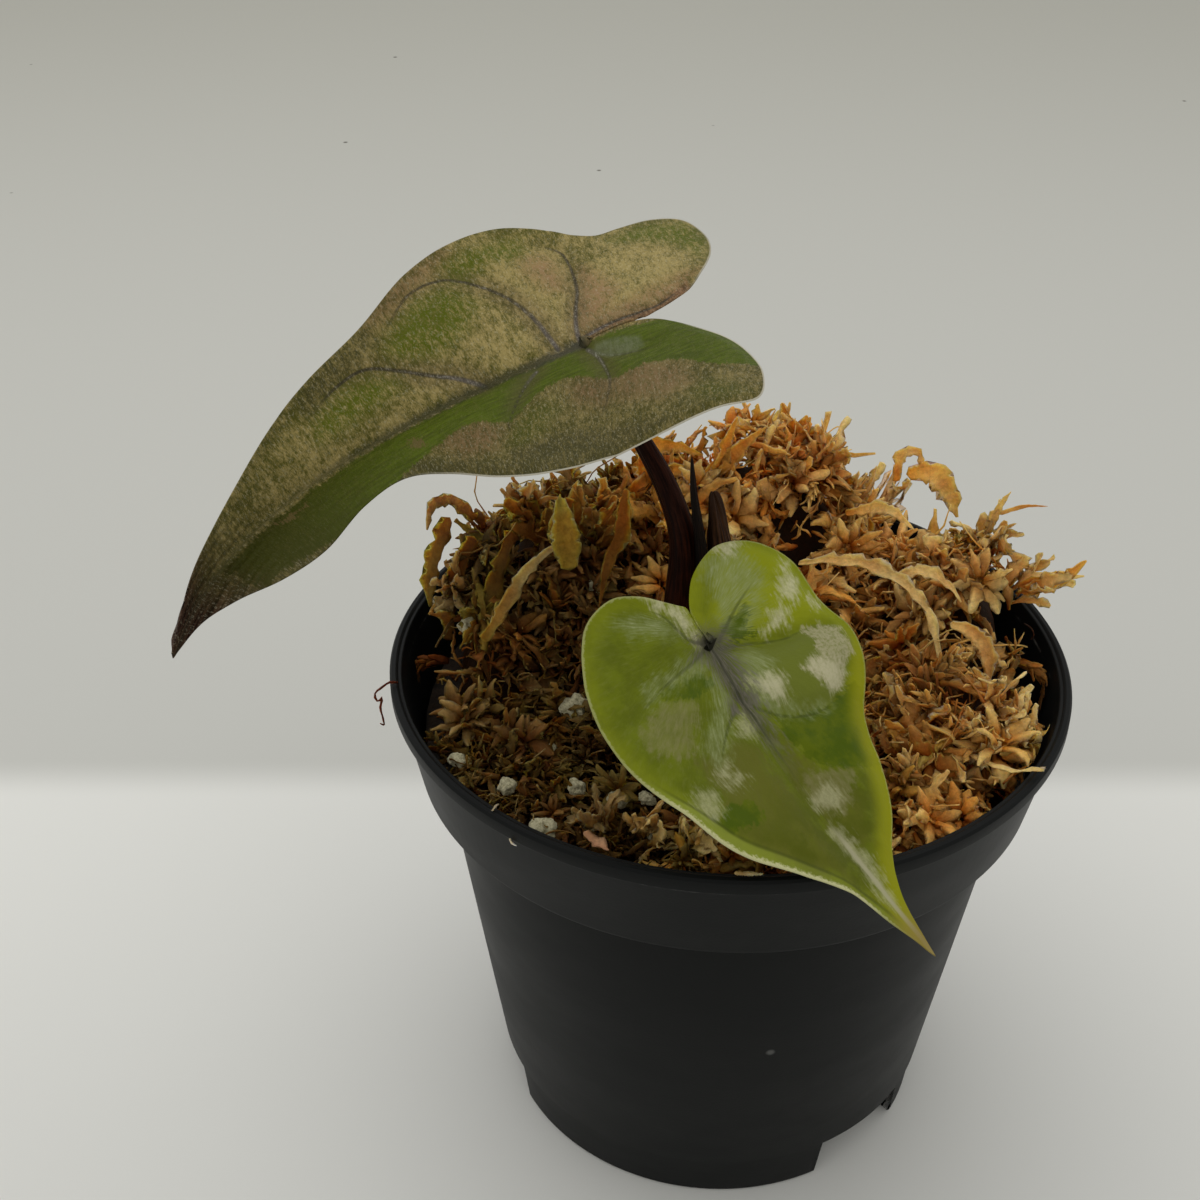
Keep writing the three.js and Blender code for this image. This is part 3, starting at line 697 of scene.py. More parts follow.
class Leaf:
    """A blade hung on a Bezier midrib, between two margins, with its veins."""

    def __init__(self, length, midrib, roll, fold, droop, left, right, veins):
        self.length = length
        self.midrib = np.array(midrib, float)
        self.roll = roll
        self.fold = fold
        self.droop = droop
        self.left = curve_through(left, MARGIN_STEPS)
        self.right = curve_through(right, MARGIN_STEPS)
        self.veins = [curve_through(points, VEIN_STEPS) for points in veins]
        self.margin = np.vstack([self.left, self.right[::-1]])

    def point(self, s, v):
        along = np.clip(s, 0, self.length)
        t = (along / self.length)[:, None]
        a, b, c, d = self.midrib
        place = (1 - t) ** 3 * a + 3 * (1 - t) ** 2 * t * b + 3 * (1 - t) * t ** 2 * c + t ** 3 * d
        ahead = unit((1 - t) ** 2 * (b - a) + 2 * (1 - t) * t * (c - b) + t ** 2 * (d - c))
        place = place + ahead * (s - along)[:, None]
        level = unit(np.stack([ahead[:, 1], -ahead[:, 0], np.zeros(len(s))], -1))
        normal = np.cross(level, ahead)
        turn = (self.roll[0] + self.roll[1] * s / self.length)[:, None]
        across = level * np.cos(turn) + normal * np.sin(turn)
        up = normal * np.cos(turn) - level * np.sin(turn)
        fold = self.fold[0] + self.fold[1] * np.maximum(s, 0) / self.length
        behind = np.maximum(-s, 0)
        height = fold * np.sqrt(v * v + 1) - self.droop * behind * behind / self.length
        return place + across * v[:, None] + up * height[:, None]

    def normal(self, s, v):
        along = self.point(s + 0.2, v) - self.point(s - 0.2, v)
        across = self.point(s, v + 0.2) - self.point(s, v - 0.2)
        return unit(np.cross(across, along))

    def plan_at(self, share, cross):
        """s and v on the blade's grid: share runs along the margins, cross from -1 to 1 between them."""
        at = share * (MARGIN_STEPS - 1)
        steps = np.arange(MARGIN_STEPS)
        lines = (self.left, self.right)
        left, right = ([np.interp(at, steps, line[:, i]) for i in (0, 1)] for line in lines)
        margin_s, margin_v = np.where(cross < 0, right, left)
        foot = self.length * np.maximum(0, (share - LOBE_SHARE) / (1 - LOBE_SHARE)) ** FOOT_POWER
        t = np.abs(cross)
        return foot + (margin_s - foot) * t, margin_v * t


MARGIN_STEPS = 600
VEIN_STEPS = 40
LOBE_SHARE = 0.42
FOOT_POWER = 1.1
LARGE_LEAF = Leaf(
    length=77,
    midrib=[(-22.5, 5.5, 133.5), (-44.5, 3, 124), (-73, -9.5, 116.5), (-77, -33.5, 106)],
    roll=(0.27, 0.72),
    fold=(0.03, 1.1),
    droop=0.6,
    left=[(-2, 0.2), (-4.4, 1.1), (-7, 1.15), (-9.6, 0.4), (-11.4, 1.2), (-14, 2.6), (-17, 5), (-20.2, 10),
          (-21.8, 15), (-21.6, 20), (-19.4, 24.4), (-15.4, 25), (-10.4, 23.4), (-6.8, 22.2), (-3.8, 23.2),
          (-0.4, 25.4), (4, 26), (8.2, 25.2), (13, 23.2), (18.5, 20), (27, 14.3), (36.5, 11), (48.5, 7.5),
          (60, 5), (70, 3.6), (75, 2), (77, 0)],
    right=[(-2, 0.2), (-6, 0.35), (-9.6, -0.4), (-13, -3.2), (-16, -6.6), (-18.8, -10), (-20.8, -14.5),
           (-21.9, -22), (-20, -27.8), (-15, -26.6), (-7, -25.5), (1, -24.4), (8, -23.7), (14, -21.7),
           (20, -18), (26.5, -12.5), (32, -9.3), (40, -8.8), (50, -9.2), (59, -7.2), (66, -3.7), (71, -1.4),
           (77, 0)],
    veins=[
        [(0.2, 1), (0, 3.8), (-0.8, 7.4), (-1.8, 11), (-2, 15.2), (-1.8, 18.4), (-1.2, 20.6), (0.4, 22.2),
         (2.5, 22.8)],
        [(-0.5, 1), (-3.2, 1.6), (-6, 2), (-9, 2.1), (-12, 2.6), (-16, 5.5)],
        [(3.6, 1), (4.4, 4.4), (5.2, 7.6), (6.2, 10.2), (8.2, 13.6), (10.2, 15.6), (12.5, 17.2), (14.8, 18),
         (19, 17), (25, 12)],
        [(15.4, 0.2), (17.4, 2), (19.2, 3.4), (21, 4.4), (25, 7), (29, 9), (34, 8.5), (38.5, 7)],
        [(-0.5, -1.5), (-2, -3.6), (-5, -5.8), (-9, -7)],
        [(-0.5, -1.5), (-1.6, -4), (-2.2, -7.6), (-2.2, -10), (-1.4, -12.6), (-0.2, -14.8), (2.2, -16.4)],
        [(7.8, -1.6), (9.8, -3.2), (11.4, -5), (13.2, -7.2), (14.6, -9.2), (15.4, -12)],
    ],
)
SMALL_LEAF = Leaf(
    length=50,
    midrib=[(-5, -28.5, 105), (3, -40, 95.5), (12.5, -50.5, 87), (23, -60.5, 78.5)],
    roll=(0, 0.1),
    fold=(0.05, 0),
    droop=-0.2,
    left=[(-2, 0.5), (-4, 0.6), (-5.9, 0.7), (-6.6, 1.7), (-8.2, 4.2), (-9.7, 6.8), (-10.6, 10.6),
          (-8.7, 15.7), (-5, 18.8),
          (0, 21.2), (5, 22.2), (12, 21.7), (19, 19.4), (25, 16.8), (32, 10.4), (39, 4.8), (44, 2.2),
          (50, 0)],
    right=[(-2, 0.4), (-5, 0.4), (-7.8, -1), (-9.7, -2.6), (-11.5, -5.4), (-12.4, -8.6), (-11, -13.5),
           (-6.5, -17.6), (0, -19), (6.5, -21.3), (12, -20), (18.5, -15.8), (26, -13), (32, -9.6),
           (37, -5.2), (42, -2), (50, 0)],
    veins=[
        [(0.4, 1), (1.4, 3.8), (2.2, 6.8), (3, 9.8), (4.6, 14.4), (6, 17)],
        [(-0.5, 1), (-1.5, 2.5), (-3.5, 3.5), (-6, 4.5), (-8, 7)],
        [(0, -1.5), (-1, -3), (-3.5, -6.5), (-6, -11)],
        [(1, -1), (2, -5), (3.5, -10), (3.5, -14), (4, -17.5)],
        [(8, 0.5), (11.5, -2), (14, -5.5), (15, -10.5), (13, -15)],
        [(9.5, 2), (11.5, 5), (15.5, 9.5)],
    ],
)


def outline_field(s, v, outlines):
    """Millimetres inside the nearest of several given outlines, below 0 outside them."""
    spots = np.stack([s, v], -1)
    field = np.full(len(s), -20.0)
    for outline in outlines:
        corners = np.array(outline, float)
        ahead = np.roll(corners, -1, 0)
        gap, _ = distance_to_line(spots, np.vstack([corners, corners[:1]]))
        crossed = np.zeros(len(s), bool)
        for (s0, v0), (s1, v1) in zip(corners, ahead):
            if v0 != v1:
                straddles = (v0 > v) != (v1 > v)
                crossed ^= straddles & (s < (s1 - s0) * (v - v0) / (v1 - v0) + s0)
        field = np.maximum(field, np.where(crossed, gap, -gap))
    return field


def blade(name, leaf, rows, columns, thickness, relief, colours, rib_width):
    """A grid laid over the blade, lifted by the relief, then given its thickness below."""
    deselect()
    bpy.ops.mesh.primitive_grid_add(x_subdivisions=rows, y_subdivisions=2 * columns, size=1)
    piece = bpy.context.object
    piece.name = name
    flat = np.array([p.co for p in piece.data.vertices])
    cross = flat[:, 1] * 2
    s, v = leaf.plan_at(flat[:, 0] + 0.5, cross)
    plan = np.stack([s, v], -1)
    vein = np.full(len(s), 50.0)
    vein_share = np.ones(len(s))
    for line in leaf.veins:
        gap, along = distance_to_line(plan, line)
        nearer = gap < vein
        vein[nearer] = gap[nearer]
        vein_share[nearer] = along[nearer]
    edge, _ = distance_to_line(plan, leaf.margin)
    fields = {
        "plan": np.stack([s, v, np.sign(cross)], -1),
        "vein": vein,
        "vein_share": vein_share,
        "rib": np.where(s < 0, np.hypot(s, v), np.abs(v)),
        "edge": edge,
    }
    normal = leaf.normal(s, v)
    points = leaf.point(s, v) + normal * (relief(s, v, fields) + thickness / MM / 2)[:, None]
    piece.data.vertices.foreach_set("co", placed(points).astype(np.float32).ravel())
    for field, values in {**fields, **colours(s, v, fields)}.items():
        give(piece, field, values)
    taper = 1 - 0.85 * np.clip(s / leaf.length, 0, 1)
    rib = 1.9 * np.exp(-(fields["rib"] / rib_width) ** 2) * taper
    side_ribs = 0.9 * np.exp(-(vein / 0.55) ** 2) * (1 - vein_share)
    weight = (0.3 + 0.7 * smooth(edge, 0, 1.2)) * (1 + np.maximum(rib, side_ribs)) / 3
    group = piece.vertex_groups.new(name="thick")
    for i, value in enumerate(weight):
        group.add((i,), float(min(value, 1)), "REPLACE")
    make_active(piece)
    bpy.ops.object.mode_set(mode="EDIT")
    bpy.ops.mesh.select_all(action="SELECT")
    bpy.ops.mesh.remove_doubles(threshold=1e-6)
    bpy.ops.mesh.dissolve_degenerate(threshold=1e-6)
    bpy.ops.object.mode_set(mode="OBJECT")
    return piece


def thicken(piece, thickness):
    """The blade's body below its upper face, thicker along the ribs, its underside in slot 1."""
    upwards = sum(p.normal.z * p.area for p in piece.data.polygons)
    if upwards < 0:
        piece.data.flip_normals()
    apply_modifier(piece, "SOLIDIFY", thickness=thickness * 3, offset=-1, vertex_group="thick",
                   material_offset=1, material_offset_rim=0)
    piece.vertex_groups.clear()
    bpy.ops.object.shade_smooth()


def large_relief(s, v, fields):
    """Veins lie in soft furrows, the blade puffs up between them, and the margin waves a little."""
    edge, rib_gap, vein, share = (fields[name] for name in ("edge", "rib", "vein", "vein_share"))
    furrow = -0.32 * np.exp(-(vein / 0.8) ** 2) * (1 - 0.6 * share)
    rib = -0.4 * np.exp(-(rib_gap / 1.2) ** 2)
    puff = 0.55 * smooth(np.minimum(vein, rib_gap), 0, 5)
    outer = smooth(6 - edge, 0, 6) * smooth(np.abs(v), 2, 8)
    wave = 0.3 * outer * np.sin(s / 4.1 + np.sign(v))
    fine = 0.1 * ripple(flat_points(s, v), 0.35, 3) * smooth(edge, 0, 3)
    lip = -0.45 * smooth(1.6 - edge, 0, 1.6) * smooth(-v, 2, 10)
    ribbed = 0.09 * np.sin(v * 5.2) * smooth(s, 50, 64) * smooth(edge, 0, 1)
    return furrow + rib + puff + wave + fine + lip + ribbed


def small_relief(s, v, fields):
    """A quilted, glossy blade: cushions between the veins and a margin rolled up on the left."""
    edge, rib_gap, vein, share = (fields[name] for name in ("edge", "rib", "vein", "vein_share"))
    furrow = -0.5 * np.exp(-(vein / 0.8) ** 2) * (1 - 0.5 * share)
    rib = -0.45 * np.exp(-(rib_gap / 1.1) ** 2) * smooth(40 - s, 0, 25)
    puff = 0.85 * smooth(np.minimum(vein, rib_gap), 0, 5.5) * smooth(edge, 0, 5)
    panel = 0.7 * smooth(outline_field(s, v, SMALL_PATCHES["panel"]), -0.4, 2.6)
    top_lobe = 1.0 * np.exp(-((s + 4) / 5) ** 2 - ((v + 10) / 5.5) ** 2)
    outer = smooth(4 - edge, 0, 4) * smooth(np.abs(v), 1.5, 6)
    wave = 0.35 * outer * np.sin(s / 3.1 + 2 * np.sign(v))
    fold = 1.0 * smooth(3.4 - edge, 0, 3.4) * smooth(v, 2, 6) * smooth(s, 12, 22)
    curl = 0.5 * smooth(1.4 - edge, 0, 1.4) * smooth(v, 2, 6) * smooth(12 - s, -8, 6)
    down = -0.35 * smooth(2.4 - edge, 0, 2.4) * smooth(-v, 3, 8)
    fine = 0.12 * ripple(flat_points(s, v), 0.3, 9)
    return furrow + rib + puff + panel + top_lobe + wave + fold + curl + down + fine


def flow_vector(w, plan, slant):
    """The blade's measure turned on each side to run along its side veins."""
    s, v, side = w.split(plan)
    across = w.sum("ABSOLUTE", v)
    sine = math.sin(math.radians(slant))
    cosine = math.cos(math.radians(slant))
    return w.add("ShaderNodeCombineXYZ", {"X": across * sine + s * cosine, "Y": s * sine - across * cosine,
                                          "Z": side * 7.0})


def rays(w, plan):
    """The blade's measure turned into distance from the stalk and turn about it, to streak outward."""
    s, v, _ = w.split(plan)
    from_stalk = s + 2.0
    reach = w.sum("SQRT", v * v + from_stalk * from_stalk)
    turn = w.sum("ARCTAN2", v, from_stalk)
    return w.add("ShaderNodeCombineXYZ", {"X": reach, "Y": turn * 11.0, "Z": 0.0})


def vein_mask(w, root_width, tip_width, fade_from=0.55):
    share = w.attribute("vein_share")
    ratio = w.attribute("vein") / w.step(share, 0.0, 1.0, root_width, tip_width)
    return w.step(ratio, 0.4, 1.7, 1.0, 0.0) * w.step(share, fade_from, 1.0, 1.0, 0.1)


def wire_large_top(w, leaf):
    """Khaki grains on olive, a green band, pink and green areas, dark furrowed veins and a maroon tip, with
    painted shade on the near half and along the midrib, and painted glints.
    """
    plan = w.attribute("plan", "Vector")
    along, across, _ = w.split(plan)
    near_side = w.step(across, -3.0, 0.5, 1.0, 0.0)
    flow = flow_vector(w, plan, 84)
    grain = speckle(w, w.scaled(flow, (0.75, 1.6, 1)), 3.3, 0.85)
    glint_specks = speckle(w, w.scaled(flow, (0.9, 1.7, 1)), 5.5, 1.6)
    drift = w.step(w.noise(plan, 0.3, detail=6.0, roughness=0.7), 0.3, 0.7, -0.4, 0.4)
    pushed = grain * 1.5 - 0.8 + (w.inside("pale", 3.0) * 0.5 + drift)
    coat = Coat(w, w.mix(w.step(pushed, -0.7, 1.15), leaf.olive, leaf.khaki))
    coat.over(w.inside("green", 2.0) * w.step(grain, 0.25, 0.95, 0.95, 0.3), (0.1, 0.122, 0.006))
    coat.over(w.inside("blush", 2.2) * w.step(grain, 0.1, 0.8, 0.25, 0.8), (0.31, 0.175, 0.09))
    # Painted shade: the near half of the blade is darkened.
    coat.over(near_side * w.step(grain, 0.0, 1.0, 0.62, 0.42), (0.058, 0.05, 0.012))
    coat.over(w.inside("sinus", 0.8) * 0.75,
              w.mix(w.step(grain, 0.2, 0.8), (0.1, 0.045, 0.024), (0.27, 0.13, 0.07)))
    coat.over(w.attribute("dusk") * w.step(grain, 0.0, 1.0, 0.95, 0.4), (0.062, 0.056, 0.02))
    band = patch_mask(w, w.attribute("band"), plan, flow, 0.9, 1.0, 0.3)
    fibres = w.noise(w.scaled(plan, (0.25, 2.2, 1)), 1.5, detail=3.0)
    fresh = w.mix(w.step(fibres, 0.3, 0.7), tinted(leaf.green, 0.8), tinted(leaf.green, 1.3))
    fresh = w.mix(w.step(along, 24.0, 56.0), fresh, (0.046, 0.05, 0.007))
    coat.over(band * w.step(grain, 0.0, 1.0, 1.0, 0.88), fresh)
    coat.over(patch_mask(w, w.attribute("tan"), plan, flow, 1.3, 1.4, 0.3) * 0.75, (0.15, 0.105, 0.04))
    stripes = w.noise(w.scaled(plan, (0.05, 3.0, 1)), 1.3, detail=2.0)
    maroon = w.mix(w.step(stripes, 0.4, 0.62), (0.012, 0.004, 0.003), (0.06, 0.03, 0.018))
    coat.over(w.step(along, 56.0, 72.0), maroon)
    coat.over(vein_mask(w, 2.0, 1.2, 0.3) * 0.3, (0.12, 0.075, 0.05))
    near_stalk = w.step(w.attribute("vein_share"), 0.05, 0.35)
    coat.over(vein_mask(w, 0.34, 0.16, 0.78) * (near_side * -0.3 + 0.85),
              w.mix(near_stalk, (0.105, 0.09, 0.085), leaf.vein))
    # Painted highlight: a pale line down the middle of the veins.
    coat.over(vein_mask(w, 0.16, 0.05, 0.1) * w.step(grain, 0.4, 0.8) * 0.6, (0.35, 0.33, 0.28))
    # A dark line along the midrib: partly its own dark colour, partly painted shade in its furrow.
    wobble = w.step(w.noise(plan, 1.1, detail=3.0), 0.2, 0.8, -0.35, 0.35)
    ratio = w.attribute("rib") / w.step(along, 0.0, 60.0, 1.0, 0.5) + wobble
    coat.over(w.step(ratio, 0.3, 1.6, 0.8, 0.0) * w.step(along, 22.0, 60.0, 1.0, 0.3),
              w.mix(w.step(along, 1.0, 12.0), (0.06, 0.06, 0.045), (0.04, 0.042, 0.018)))
    coat.over(w.inside("silver", 0.6) * w.step(grain, 0.1, 0.9, 0.4, 0.85), (0.155, 0.175, 0.09))
    rim = w.step(w.attribute("edge"), 0.08, 0.26, 1.0, 0.0)
    coat.over(rim * w.attribute("rim"), (0.62, 0.58, 0.46))
    # Painted glints: rare pale specks over the blade, fewer on the band.
    coat.over(w.step(glint_specks, 0.9, 1.0, 0.0, 0.22) * (band * -0.85 + 1.0), (0.62, 0.57, 0.4))
    return {"Base Color": coat.colour, "Roughness": w.step(grain, 0.0, 1.0, 0.5, 0.38),
            "Normal": w.bump(glint_specks * 0.5 + grain, 0.00018, 0.5)}


def wire_small_top(w, leaf):
    """Green with lime margins, olive and deep green panels, cream patches and a dark star at the stalk;
    silver patches partly painted sheen, painted light on the right margin, painted shade in the crease.
    """
    plan = w.attribute("plan", "Vector")
    along, across, _ = w.split(plan)
    edge = w.attribute("edge")
    rib = w.attribute("rib")
    heart = w.attribute("heart")
    strip = w.attribute("strip")
    left = w.step(across, 0.5, 3.0)
    flow = rays(w, plan)
    streaks = w.noise(w.scaled(flow, (0.3, 1.8, 1)), 1.6, detail=5.0, roughness=0.65)
    mottle = w.noise(plan, 0.3, detail=5.0, roughness=0.6)
    fleck = w.noise(plan, 2.2, detail=3.0, roughness=0.7)
    spotted = w.step(fleck, 0.35, 0.65)
    coat = Coat(w, w.mix(w.step(mottle, 0.32, 0.68), tinted(leaf.fresh, 0.85), tinted(leaf.fresh, 1.15)))

    def patch(name, scale, ragged, softness, share, tone, streaky=flow):
        mask = patch_mask(w, w.attribute(name), plan, streaky, scale, ragged, softness)
        coat.over(mask * share, tone)

    coat.over(w.step(streaks, 0.45, 0.8, 0.0, 0.35), (0.2, 0.215, 0.045))
    edge_glow = w.step(edge, 0.4, 3.6, left * -0.35 + 0.75, 0.0)
    bright = w.sum("MAXIMUM", w.inside("lime", 2.4), edge_glow)
    coat.over(bright * w.step(mottle, 0.25, 0.6, 0.7, 1.0), leaf.lime)
    patch("olive", 0.4, 3.0, 1.6, w.step(streaks, 0.2, 0.8, 0.7, 1.0), (0.118, 0.12, 0.014))
    lower = w.step(along, 18.0, 30.0) * w.step(mottle, 0.42, 0.62, 0.85, 0.35)
    coat.over(lower * (1.0 - bright), (0.082, 0.096, 0.003))
    patch("panel", 0.5, 0.6, 0.25, 0.8, (0.145, 0.17, 0.022))
    patch("deep", 0.7, 1.3, 0.3, 0.92,
          w.mix(w.step(mottle, 0.4, 0.62), (0.06, 0.095, 0.0005), (0.095, 0.125, 0.001)))
    patch("tan", 0.8, 1.8, 0.8, w.step(streaks, 0.25, 0.75, 0.2, 0.65), (0.23, 0.21, 0.09))
    # Painted light: the right margin is brightened lime, partly its own lime colour.
    glow = w.step(edge, 0.8, 4.2, 0.9, 0.0) * (1.0 - left)
    coat.over(glow * w.step(along, 4.0, 12.0), (0.26, 0.265, 0.003))
    # Silver patches: partly the leaf's own silvery markings, partly painted sheen.
    patch("silver", 0.8, 1.8, 1.6, w.step(streaks, 0.25, 0.72, 0.4, 0.85),
          w.mix(w.step(streaks, 0.35, 0.8), (0.22, 0.26, 0.085), (0.35, 0.38, 0.19)))
    patch("beige", 0.6, 1.6, 0.5, w.step(fleck, 0.25, 0.6, 0.35, 0.6),
          w.mix(spotted, (0.4, 0.37, 0.21), (0.52, 0.46, 0.31)), plan)
    patch("cream", 0.7, 1.8, 1.2, w.step(along, 4.0, 12.0, 0.8, 0.42),
          w.mix(spotted, tinted(leaf.cream, 0.9), tinted(leaf.cream, 1.15)), plan)
    patch("white", 0.8, 1.6, 1.1, 0.55, (0.6, 0.56, 0.37), plan)
    past_crease = edge - w.attribute("crease")
    fresh_part = w.step(past_crease, -0.3, 0.1, 1.0, 0.0) * strip
    coat.over(fresh_part * w.step(along, 24.0, 34.0, 0.75, 0.35), (0.23, 0.27, 0.03))
    # Painted shade: a dark line where the rolled left margin folds.
    crease = w.step(w.sum("ABSOLUTE", past_crease), 0.05, 0.5, 0.5, 0.0)
    coat.over(crease * strip, (0.05, 0.062, 0.004))
    coat.over(vein_mask(w, 0.26, 0.12) * 0.55, (0.055, 0.07, 0.012))
    branch = w.sum("MINIMUM", rib, w.attribute("vein_share") * 9.0 + (w.attribute("vein") + 0.5))
    ratio = branch / w.step(heart, 1.0, 24.0, 2.5, 1.3) + w.step(streaks, 0.25, 0.75, 0.8, -0.8)
    coat.over(w.step(ratio, 0.1, 1.5, 1.0, 0.0) * w.step(heart, 8.0, 24.0, 0.92, 0.0),
              w.mix(w.step(streaks, 0.35, 0.65), (0.062, 0.056, 0.044), (0.15, 0.135, 0.105)))
    coat.over(w.step(rib, 0.08, 0.3, 0.6, 0.0) * w.step(along, 9.0, 22.0, 1.0, 0.15),
              (0.035, 0.038, 0.02))
    coat.over(w.step(streaks * 1.2 + heart, 0.6, 1.9, 0.85, 0.0), (0.028, 0.027, 0.022))
    coat.over(w.step(rib, 0.15, 0.6, 0.8, 0.0) * w.step(along, 28.0, 33.0), (0.4, 0.38, 0.24))
    coat.over(w.step(along, 41.0, 47.5, 0.0, 0.85), (0.26, 0.19, 0.045))
    rim = w.attribute("rim")
    ratio = edge / w.step(rim, 0.0, 1.0, 0.18, 0.75) + w.step(fleck, 0.2, 0.8, -0.5, 0.5)
    coat.over(w.step(ratio, 0.3, 1.1, 0.95, 0.0) * rim, (0.54, 0.53, 0.28))
    wrinkles = w.noise(w.scaled(flow, (0.5, 1.8, 1)), 1.1, detail=3.0)
    gloss = w.attribute("gloss") * w.step(wrinkles, 0.35, 0.6)
    return {"Base Color": coat.colour, "Roughness": w.step(mottle, 0.3, 0.7, 0.38, 0.46) - gloss * 0.16,
            "Normal": w.bump(wrinkles, 0.0003, 0.4)}


def wire_under(w, slant, stretch, dark, light, layers):
    """A blade's underside: a grained skin, and over it the masks and tones that layers gives."""
    plan = w.attribute("plan", "Vector")
    flow = flow_vector(w, plan, slant)
    grain = w.noise(w.scaled(flow, stretch), 1.2, detail=4.0)
    coat = Coat(w, w.mix(w.step(grain, 0.3, 0.7), dark, light))
    for mask, tone in layers(w, plan, flow):
        coat.over(mask, tone)
    return {"Base Color": coat.colour, "Normal": w.bump(grain, 0.0001, 0.5)}


def large_under(w, plan, flow):
    yield vein_mask(w, 0.9, 0.4), (0.2, 0.075, 0.06)
    yield w.step(w.attribute("rib"), 0.6, 1.8, 1.0, 0.0), (0.13, 0.04, 0.035)


def small_under(w, plan, flow):
    cream = bpy.context.scene.aroid_leaf.cream
    yield patch_mask(w, w.attribute("cream"), plan, flow, 0.9, 1.5, 0.4) * 0.6, cream
    yield vein_mask(w, 0.8, 0.3), (0.3, 0.3, 0.16)


BAND_NEAR_EDGE = [(-21, -20), (-16.8, -17.2), (-12.2, -12.8), (-8.6, -11), (-3.4, -10.4), (1.6, -7.2),
                  (5, -6.2), (9, -6.8), (11.4, -8), (14.2, -9.2), (16.8, -8.2), (19.4, -6.6), (22.2, -6.4),
                  (25.6, -7.2), (34, -9.0), (40, -9.5), (47, -9.5), (58.5, -6.5)]
BAND_FAR_EDGE = [(-22, -7), (-12, -2), (-4, -0.6), (0.5, -0.4), (15, -0.5), (30, -0.7), (48, -1.0),
                 (62, -0.5)]
LARGE_PATCHES = {
    "pale": [
        [(6.5, 23), (0, 21.5), (-2, 15.5), (-0.5, 4.5), (3, 2), (6, 8.5), (7.5, 13), (10, 17.5)],
        [(14, 12.5), (9.5, 11), (6.5, 6), (5, 1.5), (10, 0.5), (15.5, 2), (19, 5.5), (16, 9)],
        [(29, 3), (24, 5), (18, 2), (17.5, 0.5), (25, 0), (32, 0.5), (36, 1)],
        [(47, 2.5), (42.5, 2.5), (37.5, 2), (36.5, 0), (43, 0), (49.5, 0.5)],
        [(-4, 15.5), (-8, 19), (-17, 18.5), (-19.5, 13), (-16.5, 6.5), (-11, 4), (-4.5, 2), (-1, 2.5)],
        [(-3, -9.5), (-8, -10.5), (-12.5, -15), (-13.5, -20), (-9, -21.5), (-3.5, -17), (-2, -13.5)],
        [(12.5, -12), (7, -8), (4.5, -9), (7.5, -15), (12.5, -15.5)],
        [(-15, -16.5), (-18, -20), (-20.5, -23.5), (-20.5, -27), (-18.5, -24.5), (-16.5, -20)],
    ],
    "green": [
        [(13.5, 20.5), (9.5, 22), (3.5, 24), (3.5, 19.5), (8.5, 19.5), (11.5, 16.5), (14, 17.5)],
        [(24, 12), (19, 15.5), (14.5, 16), (12, 12.5), (14.5, 9), (19, 7), (23, 7.5), (25.5, 9)],
        [(38.5, 6.5), (33.5, 8), (27.5, 7.5), (25.5, 6), (29.5, 4), (35, 3.5), (39.5, 4)],
        [(-8.5, 20), (-13, 23), (-19.5, 23.5), (-21.5, 18), (-20, 13), (-17.5, 17), (-13, 19)],
        [(-12.5, -20.5), (-15, -20), (-17.5, -22.5), (-19, -26), (-15.5, -25.5), (-12.5, -22.5)],
        [(15.5, -10.5), (11.5, -8.5), (7, -9), (6.5, -12), (9.5, -14.5), (14, -15.5), (16, -13)],
        [(63, 0.5), (59, -1), (50, -3.5), (41, -3), (46.5, -6), (54.5, -4.5), (60.5, -2)],
    ],
    "blush": [
        [(-0.2, 2.2), (-1.2, 7.2), (-2.4, 11), (-3.4, 15.5), (-5.6, 12.2), (-7.4, 8.2), (-5.6, 4.8),
         (-3, 2.8)],
        [(-2, 2.4), (-8, 2.8), (-14, 4), (-19, 9), (-17, 9), (-10, 5.5), (-3.5, 4)],
        [(1.5, 20), (0, 17), (0, 12), (2, 12), (4, 16), (4, 19.5)],
        [(26.5, 14), (23, 17), (16, 21), (13, 22.5), (16.5, 19), (23, 15)],
        [(-3, -9.5), (-8, -10.5), (-12.5, -15), (-12.5, -19), (-9, -19.5), (-3.5, -16), (-2, -13.5)],
        [(4, -8.5), (0.5, -8), (-2, -10.5), (-0.5, -14), (3.5, -12.5)],
        [(25.5, -7.5), (23, -6.5), (18, -7.5), (16, -10.5), (18.5, -13.5), (23, -12)],
    ],
    "sinus": [[(-0.4, 1.2), (-3.2, 1.9), (-6, 2.4), (-8.8, 2.4), (-12, 3), (-17, 7), (-17.5, 4.5),
               (-14, 1.6), (-11.2, 0.4), (-9.8, -0.4), (-7.2, 0.3), (-4, 0.3), (-1.6, 0)]],
    "silver": [[(-1.4, -2.4), (-2, -1.6), (-5.2, -2.4), (-8, -4), (-8.2, -6), (-7, -6.4), (-3.2, -5.2),
                (-1.6, -3.4)]],
    "tan": [
        [(29, -3.5), (27.5, -4), (27, -6), (29, -5.5)],
        [(52, -1.5), (48.5, -2), (46.5, -2.5), (49.5, -3)],
    ],
}
LARGE_DARK_MARGINS = [
    [(39.5, 9.5), (33.5, 12), (27, 13.5), (26.5, 12), (33, 9.5), (38.5, 7.5)],
    [(16.5, -16), (7.6, -17.2), (4, -18), (-1, -20.6), (-8, -24), (0, -24.8), (6.6, -24), (12.6, -22.2),
     (17.4, -18.8)],
    [(67.5, 0), (62, -5.5), (55.5, -8.5), (47.5, -9), (49, -10.5), (57.5, -9.5), (65.5, -4.5)],
]
